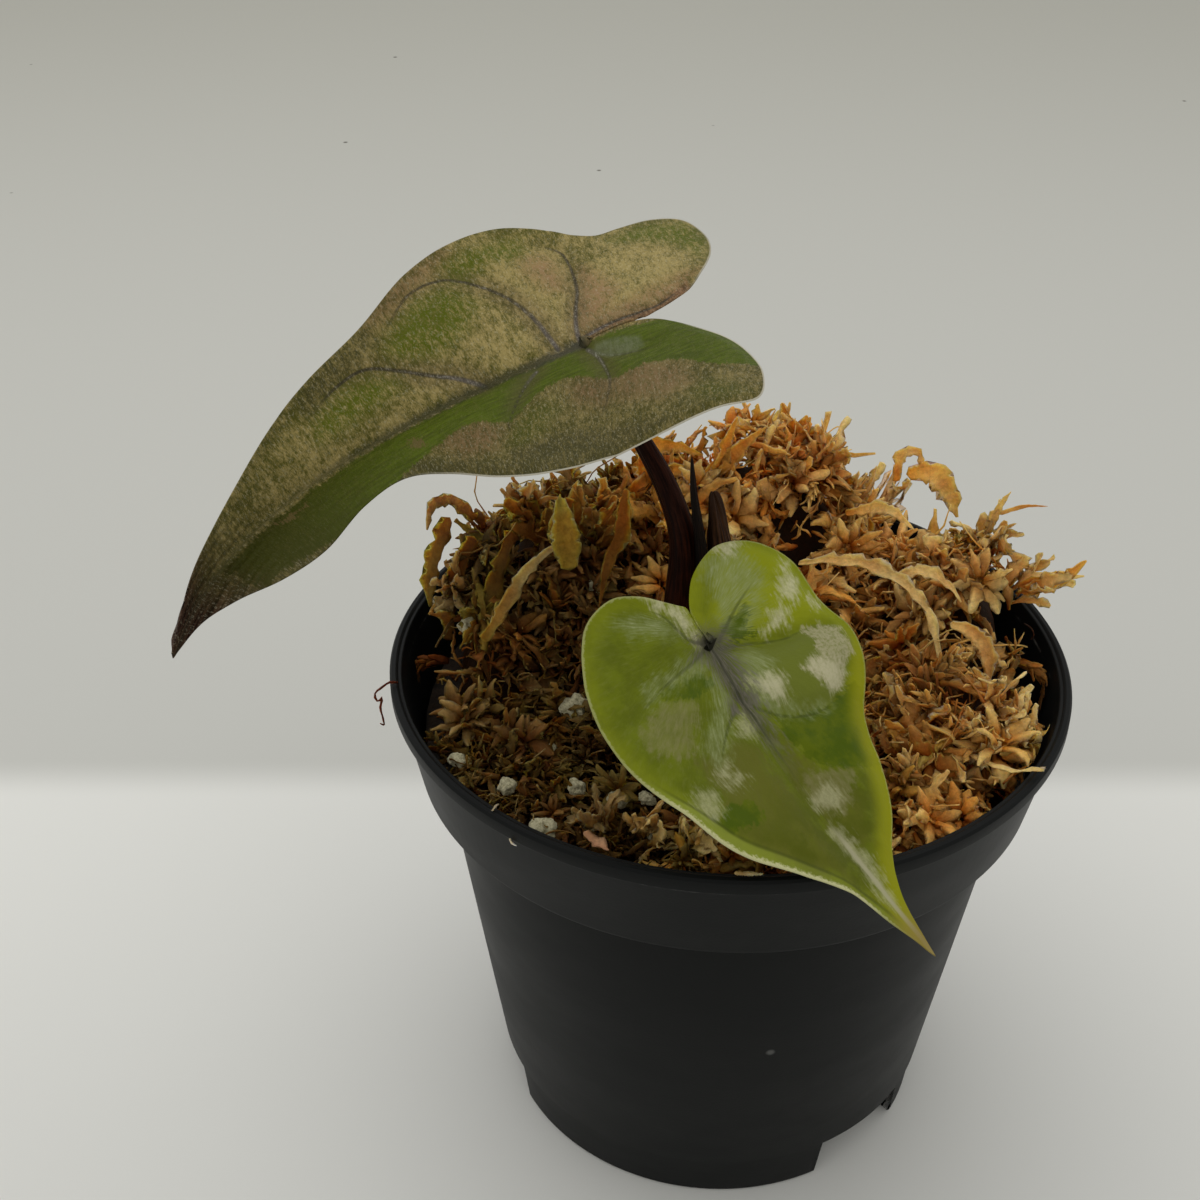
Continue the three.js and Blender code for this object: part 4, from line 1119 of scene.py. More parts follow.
SMALL_PATCHES = {
    "panel": [[(2, -2.5), (3, -6.5), (3.5, -11.5), (3.5, -16), (5, -19), (8, -20), (9.5, -19), (12, -16),
               (13.5, -14.5), (14.5, -11.5), (14.5, -8.5), (13.5, -5), (11.5, -2.5), (8, -1), (5, -1)]],
    "lime": [
        [(10.5, -19.5), (14, -18.5), (20, -16), (28, -13), (34, -8), (30.5, -8.5), (26, -10.5), (20, -13),
         (14.5, -15.5)],
        [(-3, -1), (-12, -7), (-12, -13), (-7, -18), (0, -19), (4, -20), (2.5, -12), (1.5, -4)],
    ],
    "olive": [
        [(13.5, 5), (16.5, 3), (24, 2.5), (29, 3), (35.5, 3.5), (33.5, 7.5), (29, 11.5), (25, 13.5),
         (19.5, 13), (14, 12.5), (12, 9)],
        [(16, -0.5), (19, -2), (21.5, -2.5), (23.5, -6), (29, -5.5), (34, -2), (32.5, 0.5), (27, 0.5),
         (21, 1)],
    ],
    "deep": [
        [(12.5, -2.5), (14, -6), (15, -11), (14, -14.5), (13.5, -17), (15.5, -17.5), (19.5, -15),
         (23.5, -13.5), (25.5, -13), (25, -10), (23, -6), (21, -3), (18, -3), (16, -2)],
        [(3.5, 11), (3.5, 7.5), (3, 4.5), (4.5, 3), (5.5, 3.5), (6, 6.5), (5.5, 9), (5, 11)],
        [(21, 16.5), (20.5, 13.5), (21, 10), (23, 8.5), (24, 9.5), (24, 12.5), (23.5, 14.5), (22, 16.5)],
        [(-1.5, -2.5), (-3, -7), (-1.5, -7.5), (0, -5.5), (1.5, -7.5), (1, -3)],
    ],
    "tan": [
        [(7, 17.4), (6, 14), (5, 11.6), (6.2, 7.8), (8.6, 8.6), (10.6, 11), (12.5, 12), (12.5, 15), (11, 17),
         (9.6, 18.2)],
        [(21.5, -1.5), (23, -5.5), (24.5, -8), (27, -5.5), (28.5, -2.5), (26.5, 0), (23.5, 0)],
    ],
    # Silver patches: partly silvery markings, partly painted sheen.
    "silver": [
        [(-11, -5), (-11, -10), (-8, -11.5), (-6, -12), (-4.5, -11), (-3.5, -7.5), (-2, -5), (-0.5, -2.5),
         (-3.5, -3.5), (-6.5, -4), (-9, -4)],
        [(-3, -7.5), (-4.5, -10.5), (-2.5, -9.5), (0, -6.5), (0, -5.5), (-1.5, -7)],
        [(3, -2), (3, -5), (6, -6), (9, -3), (11.5, -4), (14, -7.5), (14.7, -11), (14.5, -8), (13, -4),
         (10, -1), (6, -1)],
        [(1, 2), (1, 5), (2, 8.5), (2.5, 12.5), (3, 13.5), (4, 13.5), (3.5, 10.5), (3, 7), (3, 3)],
        [(-7, 12), (-6.5, 7), (-4.5, 4), (-3, 4), (-3.5, 7), (-5, 11)],
        [(3.5, 2), (5, 1.5), (8.5, 2), (10.5, 4.5), (7.5, 4.5), (5, 3.5)],
        [(8, 3.5), (12.5, 5.5), (15.5, 9.5), (13, 10.5), (9.5, 6.5)],
    ],
    "beige": [[(3.5, -14), (3.5, -16.5), (5.5, -19), (8.5, -19.5), (10, -19), (10.5, -17), (12.5, -15.5),
               (13.5, -14), (13, -12), (11, -11.5), (9, -10), (8, -11.5), (7.5, -13.5), (6, -14.5)]],
    "white": [
        [(7, -2), (7.5, -4), (8.5, -6), (10, -5.5), (11, -5), (10.5, -4), (9, -2.5)],
        [(8, -11), (9, -10.2), (11, -11.5), (13, -12), (13.5, -14), (12, -15.8), (10, -15.5),
         (8.5, -13.5)],
    ],
    "cream": [
        [(-12.5, -7.5), (-12.5, -9.5), (-11.5, -11.5), (-11, -10), (-10.5, -8.5)],
        [(-3, -12.5), (-4.5, -14.5), (-5, -16), (-3.5, -16.5), (-2, -16), (-0.5, -14), (-2, -13)],
        [(-5.5, -14.5), (-6.5, -16), (-6, -16.5), (-5, -15.5)],
        [(1.5, -8), (0, -10), (-0.5, -12), (0, -12.5), (1.5, -11.5), (1.5, -9.5), (2, -8)],
        [(-0.5, -17), (0.5, -18), (1, -18), (0.5, -17)],
        [(7, -2), (7.5, -4), (8.5, -6), (10, -5.5), (11, -5), (10.5, -4), (9, -2.5)],
        [(-9, 5.5), (-8, 4), (-6, 1.5), (-4, 1.5), (-0.5, 1), (-0.5, 1.6), (-3, 2.6), (-5.5, 3.2),
         (-7.5, 5)],
        [(11, 3), (10.5, 1.5), (12.5, 1), (14, 2), (13.5, 3.5), (12.5, 4)],
        [(16, 11), (15.5, 8.5), (16.5, 9), (17.5, 10), (17.5, 8), (18, 7.5), (18.5, 9.5), (18, 11),
         (17, 11.5)],
        [(18, 17.5), (17.5, 15.5), (18, 13.5), (19.5, 14), (20.5, 14), (21, 16.5), (19.5, 17.5)],
        [(24.5, -1), (24, -3), (25.5, -4), (27, -3.5), (27.5, -2.5), (27, -1), (26, 0), (25, 0)],
        [(29, 0.5), (30.5, -0.5), (34, -1.5), (37, -1.5), (41, -0.5), (42, 0.5), (40.5, 1), (36.5, 0.5),
         (32.5, 0.5), (30, 1)],
    ],
}


def large_colours(s, v, fields):
    """Where the large leaf is pale, green, pink or silvery, its dull margins and its green band."""
    edge = fields["edge"]
    made = {name: outline_field(s, v, outlines) for name, outlines in LARGE_PATCHES.items()}
    outer_far = smooth(2.6 - edge, 0, 2.6) * smooth(s, 4, 26) * smooth(v, 0, 2) * 0.5
    outer_near = smooth(4 - edge, 0, 3.5) * smooth(s, -14, 8) * smooth(-v, 0, 2) * 0.95
    brown_near = smooth(3 - edge, 0, 3) * smooth(s, 36, 46) * smooth(-v, 0, 2) * 0.9
    late = smooth(s, 42, 60) * 0.6
    margins = smooth(outline_field(s, v, LARGE_DARK_MARGINS), -2, 1) * 0.9
    made["dusk"] = np.max([outer_far, outer_near, brown_near, late, margins], axis=0)
    near = np.interp(s, *zip(*BAND_NEAR_EDGE))
    far = np.interp(s, *zip(*BAND_FAR_EDGE))
    band = np.minimum(far - v, v - near)
    made["band"] = np.clip(np.minimum(band, (62 - s) * 0.35), -6, 6)
    made["rim"] = smooth(-v, 3, 10) * smooth(34 - s, 0, 16) + 0.8 * smooth(v, 4, 10) * smooth(-s, 10, 18)
    return made


def small_colours(s, v, fields):
    """The small leaf's patches, its pale rim and where it shines."""
    made = {name: outline_field(s, v, outlines) for name, outlines in SMALL_PATCHES.items()}
    made["heart"] = np.hypot(s + 0.4, v)
    rim = smooth(v, 0, 5) * (0.4 + 0.6 * smooth(s, 8, 22)) + 0.25 * smooth(-v, 3, 8)
    made["rim"] = np.clip(rim, 0, 1) * (1 - 0.6 * smooth(s, 40, 48))
    made["crease"] = np.interp(s, (10, 17, 22, 36, 46), (0.8, 1.6, 2.5, 1.9, 0.7))
    made["strip"] = smooth(v, 0.2, 2) * smooth(s, 12, 18) * smooth(-s, -46, -42)
    made["gloss"] = np.exp(-((s + 5) / 6) ** 2 - ((v + 11) / 6) ** 2)
    return made


# Each blade: its size, its share of the set rows and columns, shape, relief, colours, rib width, top finish
# and shine, and its underside's slant, stretch, two tones and layers, and roughness
BLADES = [
    ("large", (1, 1), LARGE_LEAF, large_relief, large_colours, 1.2, wire_large_top, 0.07,
     (62, (0.6, 1.8, 1), (0.075, 0.045, 0.04), (0.12, 0.085, 0.055), large_under), 0.5),
    ("small", (0.85, 0.9), SMALL_LEAF, small_relief, small_colours, 1.1, wire_small_top, 0.09,
     (58, (0.5, 2.0, 1), (0.16, 0.21, 0.06), (0.25, 0.29, 0.12), small_under), 0.45),
]


class AROID_OT_leaves(bpy.types.Operator):
    """Makes the two leaf blades with their veins, relief and patterns"""
    bl_idname = "aroid.leaves"
    bl_label = "Leaves"

    def execute(self, context):
        leaf = context.scene.aroid_leaf
        for size, grid, shape, relief, colours, rib_width, wire_top, shine, under, roughness in BLADES:
            rows, columns = int(leaf.rows * grid[0]), int(leaf.columns * grid[1])
            piece = blade("fine_leaf_" + size, shape, rows, columns, leaf.thickness, relief, colours,
                          rib_width)
            thicken(piece, leaf.thickness)
            upper = surface(f"{size.title()} blade upper side", wire_top, leaf, Specular_IOR_Level=shine)
            finish_piece(piece, upper, size + "_blade", "leaf_" + size)
            lower = surface(f"{size.title()} blade underside", wire_under, *under, Roughness=roughness)
            piece.data.materials.append(lower)
        return {"FINISHED"}


# Stalks

def frames_along(path):
    """Side and third direction at each point of a path, turned as little as possible."""
    ahead = unit(np.gradient(path, axis=0))
    start = np.cross(ahead[0], (0.0, 0.0, 1.0))
    if np.linalg.norm(start) < 0.1:
        start = np.cross(ahead[0], (1.0, 0.0, 0.0))
    side = [unit(start)]
    for direction in ahead[1:]:
        side.append(unit(side[-1] - direction * (side[-1] @ direction)))
    side = np.array(side)
    return side, np.cross(ahead, side)


def tube_faces(rows, around):
    """Triangles of a closed tube: its wall, and the fans to its two tips, which are its last points."""
    index = np.arange(rows * around).reshape(rows, around)
    a, b = index[:-1], index[1:]
    a1, b1 = np.roll(a, -1, 1), np.roll(b, -1, 1)
    wall = np.concatenate([np.stack([a, a1, b1], -1), np.stack([a, b1, b], -1)]).reshape(-1, 3)
    first, last = index[0], index[-1]
    foot = np.stack([np.roll(first, -1), first, np.full(around, rows * around)], -1)
    top = np.stack([last, np.roll(last, -1), np.full(around, rows * around + 1)], -1)
    return np.concatenate([wall, foot, top])


def stalk(name, path, radius_at, sides, steps, dents):
    """A closed stalk swept along a path. dents says how far its skin is pressed in, along and round."""
    line = curve_through(path, steps)
    side, third = frames_along(line)
    turns = np.linspace(0, 2 * np.pi, sides, endpoint=False)
    along, turn = np.meshgrid(np.linspace(0, 1, steps), turns, indexing="ij")
    radius = radius_at(along) - dents(along, turn)
    ring = np.cos(turn)[..., None] * side[:, None] + np.sin(turn)[..., None] * third[:, None]
    points = (line[:, None] + ring * radius[..., None]).reshape(-1, 3)
    length = np.linalg.norm(np.diff(line, axis=0), axis=1).sum()
    skin = np.stack([np.cos(turn), np.sin(turn), along * length], -1).reshape(-1, 3)
    fields = {"skin": np.vstack([skin, [(0, 0, 0)], [(0, 0, length)]]), "share": np.append(along, [0, 1])}
    return mesh_of(name, np.vstack([points, line[:1], line[-1:]]), tube_faces(steps, sides), fields)


def wire_stalk(w, dark, light, top):
    """Lengthwise stripes over a skin that changes towards its top."""
    skin = w.attribute("skin", "Vector")
    stripes = w.noise(w.scaled(skin, (2.6, 2.6, 0.1)), 1.6, detail=4.0, roughness=0.65)
    blotch = w.noise(w.scaled(skin, (1, 1, 0.4)), 0.9, detail=3.0)
    coat = Coat(w, w.mix(w.step(stripes, 0.35, 0.68), dark, light))
    coat.over(w.step(blotch, 0.45, 0.7, 0.0, 0.5), dark)
    coat.over(w.step(w.attribute("share"), 0.75, 1.0, 0.0, 0.7), top)
    return {"Base Color": coat.colour, "Normal": w.bump(stripes, 0.0003, 0.6),
            "Roughness": w.step(stripes, 0.3, 0.7, 0.5, 0.36)}


def under_blade(leaf, depth):
    start = leaf.point(np.zeros(1), np.zeros(1))
    return tuple((start - leaf.normal(np.zeros(1), np.zeros(1)) * depth)[0])


def channel(along, turn):
    """The large stalk's open groove, and its fine ribs."""
    groove = 0.34 * np.exp(-((np.cos(turn - 1.9) - 1) / 0.1) ** 2)
    ribs = 0.045 * np.cos(13 * turn) + 0.03 * np.cos(7 * turn + 9 * along)
    return groove * smooth(along, 0.1, 0.5) + ribs


def rolled_edge(along, turn):
    return 0.12 * np.exp(-((np.cos(turn - 2.4 - 2 * along) - 1) / 0.06) ** 2)


def old_ribs(along, turn):
    tear = 0.3 * smooth(along, 0.7, 0.95) * np.cos(3 * turn + 1)
    return 0.12 * np.cos(11 * turn) + 0.15 * np.cos(2 * turn + 5 * along) + tear


# Each stalk: its node, slot, finish and shine, sides and steps, path, radius and dents, and its dark, light
# and top tones
STALKS = [
    ("petiole_large", "dark_stalk", "Dark stalk", 0.05, 36, 110,
     [(-8, -4.5, 81.3), (-7.9, -3.4, 94), (-7.7, -2, 105.4), (-9.7, 1, 111.5), (-13.7, 4.5, 118.3),
      under_blade(LARGE_LEAF, 6.2), under_blade(LARGE_LEAF, 1.5)],
     lambda t: 1.35 + 1.55 * np.maximum(0, 1 - t / 0.72) ** 0.8, channel,
     ((0.006, 0.0014, 0.0005), (0.034, 0.008, 0.0028), (0.04, 0.02, 0.008))),
    ("petiole_small", "pale_stalk", "Pale stalk", 0.5, 28, 70,
     [(-4.5, -9.3, 81.3), (-4.7, -12, 90), (-5.6, -18.5, 96.5), under_blade(SMALL_LEAF, 5.2),
      under_blade(SMALL_LEAF, 1.4)],
     lambda t: 1.9 - 0.8 * t, lambda along, turn: 0.05 * np.cos(9 * turn),
     ((0.1, 0.115, 0.03), (0.24, 0.25, 0.09), (0.2, 0.21, 0.1))),
    ("leaf_spike", "dark_stalk", "Young leaf skin", 0.08, 24, 80,
     [(-3.6, -4.4, 81.3), (-4.3, -4.2, 96), (-5.2, -3.9, 106.5), (-6.3, -3.5, 114), (-6.8, -3.2, 120.2)],
     lambda t: 1.45 * (1 - t) ** 0.55 + 0.02, rolled_edge,
     ((0.003, 0.002, 0.0015), (0.016, 0.009, 0.006), (0.012, 0.007, 0.005))),
    ("sheath_stub", "dry_sheath", "Dry sheath", 0.1, 40, 70,
     [(-0.2, -3, 81.3), (-1, -2.4, 95), (-2.4, -1.4, 106), (-3.4, -1, 113)],
     lambda t: 3.0 * (1 - 0.5 * smooth(t, 0.35, 0.95)) * np.sqrt(np.maximum(0.01, 1 - t ** 7)), old_ribs,
     ((0.01, 0.0035, 0.0014), (0.07, 0.028, 0.009), (0.03, 0.012, 0.005))),
]


class AROID_OT_stalks(bpy.types.Operator):
    """Makes the two leaf stalks, the rolled young leaf and the old sheath"""
    bl_idname = "aroid.stalks"
    bl_label = "Stalks"

    def execute(self, context):
        for node, slot, finish, shine, sides, steps, path, radius_at, dents, tones in STALKS:
            piece = stalk("fine_" + node, path, radius_at, sides, steps, dents)
            skin = surface(finish, wire_stalk, *tones, Specular_IOR_Level=shine)
            finish_piece(piece, skin, slot, node)
        return {"FINISHED"}


# Moss. Level ground with heaps on it, rounded off towards the wall, as in the solids.

STEM_CENTRE = np.array((-5.0, -4.0))
STEM_HOLE_RADIUS = 9.5
MOSS_FLOOR = 72.3
MOSS_LEVEL = 79.0
MOSS_SHOULDER = 36.0
MOSS_SHOULDER_WIDTH = 14.0
LEAF_CLEARANCE = 1.3
LEAF_TURN = 2.4
HEAPS = [(10, 31, 24, 12), (-8, 30, 10, 11), (-22, 26, 10, 11), (-38, 18, 15, 11), (43, 14, 19, 9),
         (36, -14, 7, 13), (-8, -3, 4, 14)]


STRAW, AMBER, UMBER, OLIVE = range(4)

# Each clump is a wedge of moss round the stem: its start and end in degrees, its reach, how far its strands
# stand up, their size and light (a factor on its colours, partly its own lighter or darker moss, partly
# painted light and shade), and its shares of straw, amber, umber and olive
Clump = namedtuple("Clump", "name start end reach lift size light tones")
CLUMPS = [Clump(name, math.radians(start), math.radians(end), *rest) for name, start, end, *rest in (
    ("moss_right", -22, 28, 45.5, 1.0, 1.0, 0.95, (0.56, 0.24, 0.16, 0.04)),
    ("moss_back_right", 28, 64, 46.5, 1.0, 1.0, 1.35, (0.52, 0.34, 0.14, 0.0)),
    ("moss_back", 64, 106, 46.5, 1.0, 1.0, 1.75, (0.42, 0.42, 0.16, 0.0)),
    ("moss_back_left", 106, 150, 46.5, 1.0, 0.9, 0.42, (0.16, 0.34, 0.36, 0.14)),
    ("moss_left", 150, 202, 44.0, 0.8, 0.8, 0.35, (0.14, 0.14, 0.38, 0.34)),
    ("moss_front_left", 202, 268, 48.0, 0.45, 0.6, 0.28, (0.2, 0.02, 0.12, 0.66)),
    ("moss_front", 268, 338, 47.5, 0.5, 0.85, 1.15, (0.46, 0.24, 0.22, 0.08)),
)]


def moss_height(x, y):
    edge = np.clip((np.hypot(x, y) - MOSS_SHOULDER) / MOSS_SHOULDER_WIDTH, 0, 1)
    heap = 0
    for hx, hy, height, spread in HEAPS:
        heap = heap + height * np.exp(-((x - hx) ** 2 + (y - hy) ** 2) / (2 * spread * spread))
    return MOSS_LEVEL + heap * np.sqrt(1 - 0.95 * edge * edge)


def moss_slope(x, y):
    """The surface's upward normal."""
    step = 0.5
    east = (moss_height(x + step, y) - moss_height(x - step, y)) / (2 * step)
    north = (moss_height(x, y + step) - moss_height(x, y - step)) / (2 * step)
    return unit(np.stack([-east, -north, np.ones_like(east)], -1))


def reach_on(bearing, radius):
    """How far from the stem the circle of that radius about the pot's axis lies on a bearing."""
    along = STEM_CENTRE[0] * np.cos(bearing) + STEM_CENTRE[1] * np.sin(bearing)
    return -along + np.sqrt(along * along - STEM_CENTRE @ STEM_CENTRE + radius * radius)


class Ceiling:
    """How high a strand may reach under the leaves, on a square millimetre grid."""

    SIZE = 160

    def __init__(self, leaves, clearance):
        self.height = np.full((self.SIZE, self.SIZE), 1e3)
        for leaf in leaves:
            share, t, side = np.meshgrid(np.linspace(0, 1, 240), np.linspace(0, 1, 70), (-1, 1))
            points = leaf.point(*leaf.plan_at(share.ravel(), (t * side).ravel()))
            np.minimum.at(self.height, self.cells(points), points[:, 2] - clearance)
        spread = self.height.copy()
        for shift in ((1, 0), (-1, 0), (0, 1), (0, -1), (1, 1), (-1, -1)):
            spread = np.minimum(spread, np.roll(self.height, shift, (0, 1)))
        self.height = spread

    def cells(self, points):
        cell = np.clip(np.round(points[:, :2] + self.SIZE / 2).astype(int), 0, self.SIZE - 1)
        return cell[:, 0], cell[:, 1]

    def lower(self, points):
        points[:, 2] = np.minimum(points[:, 2], self.height[self.cells(points)])
        return points


def inside_wall(points):
    """Presses points back that stand in the pot's wall or hang beyond it below the lip."""
    inner = np.interp(points[:, 2], (68.4, 82.8, 84.4, 88), (47.2, 49.6, 49.9, 60))
    radius = np.hypot(points[:, 0], points[:, 1])
    share = np.minimum(1, inner / np.maximum(radius, 1e-6))
    points[:, :2] *= share[:, None]
    points[:, 2] = np.maximum(points[:, 2], MOSS_FLOOR + 0.1)
    return points


class Heap:
    """Points and triangles gathered from many small closed shapes, each with its colour."""

    def __init__(self):
        self.points = []
        self.faces = []
        self.colours = []
        self.count = 0

    def add(self, points, faces, colours):
        self.points.append(points)
        self.faces.append(faces + self.count)
        self.colours.append(colours)
        self.count += len(points)

    def piece(self, name, ceiling=None):
        points = np.vstack(self.points)
        if ceiling is not None:
            points = inside_wall(ceiling.lower(points))
        return mesh_of(name, points, np.vstack(self.faces), {"tone": np.vstack(self.colours)})


def loft(heap, rings, start, end, colours, start_colour, end_colour):
    """Adds many closed tubes at once. rings is tube by row by point, with a pointed start and end."""
    tubes, rows, around = rings.shape[:3]
    body = np.concatenate([rings.reshape(tubes, -1, 3), start[:, None], end[:, None]], 1)
    shade = np.concatenate([colours.reshape(tubes, -1, 3), start_colour[:, None], end_colour[:, None]], 1)
    first = np.arange(tubes) * (rows * around + 2)
    faces = (tube_faces(rows, around) + first[:, None, None]).reshape(-1, 3)
    heap.add(body.reshape(-1, 3), faces, shade.reshape(-1, 3))


PALEST = 0.86
ACROSS = np.array((-1.0, -0.5, 0.5, 1.0, 0.5, -0.5))
FACE = np.array((0, 1, 1, 0, -1, -1))
IS_EDGE = np.abs(ACROSS) == 1


def square_to(ahead, side):
    """The part of side that stands square to ahead, of length 1."""
    return unit(side - ahead * np.sum(side * ahead, -1, keepdims=True))


def sheets(heap, paths, side, widths, cup, thick, tones, random, ragged=0.2, ruffle=0.2):
    """Adds many thin cupped sheets at once, toothed and ruffled along both edges.

    paths is sheet by row by three, side the crosswise direction at each row and widths the half width.
    """
    count, rows = paths.shape[:2]
    ahead = unit(np.gradient(paths, axis=1))
    side = square_to(ahead, side)
    up = np.cross(side, ahead)
    both = (0, 0, 1, 1, 1, 0)
    torn = np.maximum(1 + ragged * random.normal(0, 1, (count, rows, 2)), 0.35)[:, :, both]
    reach = widths[..., None] * ACROSS * np.where(IS_EDGE, torn, 1)
    slip = random.uniform(-0.4, 0.9, (count, rows, 2))[:, :, both] * IS_EDGE * widths[..., None]
    slip[:, -1] *= 2.5
    curl = cup[:, None, None] * widths[..., None] * (ACROSS ** 2 - 0.25)
    turn = random.uniform(0.9, 2.3, (count, 1, 2)) * np.arange(rows)[:, None]
    phase = random.uniform(0, 6.3, (count, 1, 2)) + turn
    wave = (ruffle * np.sin(phase))[:, :, both] * np.where(IS_EDGE, 1, 0.3) * widths[..., None]
    lift = curl + wave + FACE * thick / 2
    rings = (paths[:, :, None] + side[:, :, None] * reach[..., None] + up[:, :, None] * lift[..., None]
             + ahead[:, :, None] * slip[..., None] * ragged)
    # Painted light: sheet edges are paler and their middles darker, standing in for light showing through
    # the thin edges.
    edge = np.where(IS_EDGE[:, None], (1.25, 1.2, 1.25), (0.92, 0.88, 0.8))
    shade = tones[:, :, None] * edge * random.uniform(0.72, 1.16, (count, 1, 6, 1))
    shade = shade * np.minimum(1, PALEST / shade.max(-1, keepdims=True))
    last = paths[:, -1] + ahead[:, -1] * widths[:, -1:] * 0.6
    first = paths[:, 0] - ahead[:, 0] * widths[:, :1] * 0.5
    loft(heap, rings[:, :, ::-1], first, last, shade, tones[:, 0], tones[:, -1])


def any_side(random, direction):
    return unit(np.cross(direction, unit(random.normal(0, 1, direction.shape))))


def blend(a, b, rows, power=1.0):
    """Colours that run from one tone to the other along each strand."""
    t = (np.linspace(0, 1, rows) ** power)[None, :, None]
    return a[:, None] * (1 - t) + b[:, None] * t


def swept(random, roots, direction, bend, length, rows, wander):
    """Paths that start one way and turn towards another, strand by row by three."""
    t = np.linspace(0, 1, rows)[None, :, None]
    heading = unit(direction[:, None] * (1 - t) + bend[:, None] * t)
    heading = unit(heading + np.cumsum(random.normal(0, wander, (len(roots), rows, 3)), 1))
    steps = heading * (length[:, None, None] / (rows - 1))
    steps[:, 0] = 0
    return roots[:, None] + np.cumsum(steps, 1)


def shreds(heap, random, roots, direction, bend, length, width, base, tip, rows=8, side=None, twist=0.0,
           wander=0.1, cup=(-1.1, 1.1), profile=(0.45, 0.45, 0.42), ragged=0.16, ruffle=0.25):
    """Many soft leaves or shreds, rounded at their ends, that bend, cup and twist."""
    count = len(roots)
    paths = swept(random, roots, direction, bend, length, rows, wander)
    ahead = unit(np.gradient(paths, axis=1))
    first = any_side(random, direction) if side is None else side
    across = square_to(ahead, np.repeat(first[:, None], rows, 1))
    t = np.linspace(0, 1, rows)
    turn = (random.normal(0, 1, (count, 1)) * twist * t)[..., None]
    across = across * np.cos(turn) + np.cross(across, ahead) * np.sin(turn)
    low, peak, high = profile
    widths = width[:, None] * np.interp(t, (0, peak, 1), (low, 1, high))
    widths = widths * random.uniform(0.9, 1.1, (count, rows))
    sheets(heap, paths, across, widths, random.uniform(*cup, count), 0.2, blend(base, tip, rows), random,
           ragged, ruffle)


def heads(heap, random, roots, axis, size, base, tip, petals=13):
    """Tufts of narrow leaves that open from one root and curl outward, like a small flower."""
    count = len(roots)
    first = any_side(random, axis)
    second = np.cross(axis, first)
    spin = np.arange(petals)[None] * LEAF_TURN + random.uniform(0, 6.3, (count, 1))
    spin = spin + random.normal(0, 0.2, (count, petals))
    out = first[:, None] * np.cos(spin)[..., None] + second[:, None] * np.sin(spin)[..., None]
    level = (np.arange(petals) / petals)[None, :, None]
    direction = unit(out * 0.8 + axis[:, None] * (0.25 + 1.3 * level)).reshape(-1, 3)
    bend = unit(out * (1.5 - 0.9 * level) + axis[:, None] * (1.1 * level - 0.75)).reshape(-1, 3)
    start = (roots[:, None] + out * 0.12 * size[:, None, None]
             + axis[:, None] * (0.5 * level - 0.1) * size[:, None, None]).reshape(-1, 3)
    each = np.repeat(size, petals)
    change = random.uniform(0.85, 1.2, (len(each), 1))
    side = np.cross(axis[:, None], out).reshape(-1, 3)
    shreds(heap, random, start, direction, bend, each * random.uniform(0.55, 1.0, len(each)),
           each * random.uniform(0.13, 0.27, len(each)), np.repeat(base, petals, 0) * change,
           np.repeat(tip, petals, 0) * change, rows=6, side=side, cup=(0.2, 1.0), profile=(0.5, 0.5, 0.22),
           ragged=0.25, ruffle=0.35)


def ropes(heap, random, roots, direction, bend, length, width, base, tip, leaves=26):
    """Branches: a soft stem wrapped in short cupped leaves that lie close, their tips a little off."""
    rows, around = 8, 6
    count = len(roots)
    paths = swept(random, roots, direction, bend, length, rows, 0.12)
    ahead = unit(np.gradient(paths, axis=1))
    side = square_to(ahead, np.repeat(any_side(random, direction)[:, None], rows, 1))
    third = np.cross(side, ahead)
    ring = np.arange(around) * 2 * np.pi / around
    t = np.linspace(0, 1, rows)
    shape = np.interp(t, (0, 0.4, 1), (0.75, 1, 0.3))
    radius = width[:, None] * 0.4 * shape * random.uniform(0.9, 1.1, (count, rows))
    circle = side[:, :, None] * np.cos(ring)[:, None] + third[:, :, None] * np.sin(ring)[:, None]
    core = blend(base, tip, rows)
    loft(heap, (paths[:, :, None] + circle * radius[..., None, None])[:, :, ::-1], paths[:, 0],
         paths[:, -1] + ahead[:, -1] * width[:, None] * 0.3,
         np.repeat(core[:, :, None] * 0.8, around, 2), base * 0.8, tip)
    share = np.sort(random.uniform(0.02, 1.0, (count, leaves)), 1)
    at = share * (rows - 1)
    low = np.minimum(at.astype(int), rows - 2)
    rest = (at - low)[..., None]
    pick = np.arange(count)[:, None]

    def along(values):
        return values[pick, low] * (1 - rest) + values[pick, low + 1] * rest

    spin = (random.uniform(0, 6.3, (count, 1)) + np.arange(leaves) * LEAF_TURN)[..., None]
    out = along(side) * np.cos(spin) + along(third) * np.sin(spin)
    spread = random.uniform(0.05, 0.5, (count, leaves, 1))
    heading = unit(along(ahead) * np.cos(spread) + out * np.sin(spread)).reshape(-1, 3)
    away = unit(heading + (out * random.uniform(-0.3, 0.9, (count, leaves, 1))).reshape(-1, 3))
    each = (width[:, None] * random.uniform(0.8, 1.2, (count, leaves)) * (1 - 0.35 * share)).ravel()
    starts = (along(paths) + out * (radius[pick, low] * 0.7)[..., None]).reshape(-1, 3)
    tone = along(core).reshape(-1, 3) * random.uniform(0.82, 1.18, (len(each), 1))
    shreds(heap, random, starts, heading, away, each * 1.35, each * 0.36, tone * 0.75, tone * 1.2, rows=4,
           side=np.cross(heading, out.reshape(-1, 3)), wander=0.04, cup=(-0.7, 0.1),
           profile=(0.75, 0.4, 0.4), ragged=0.12)


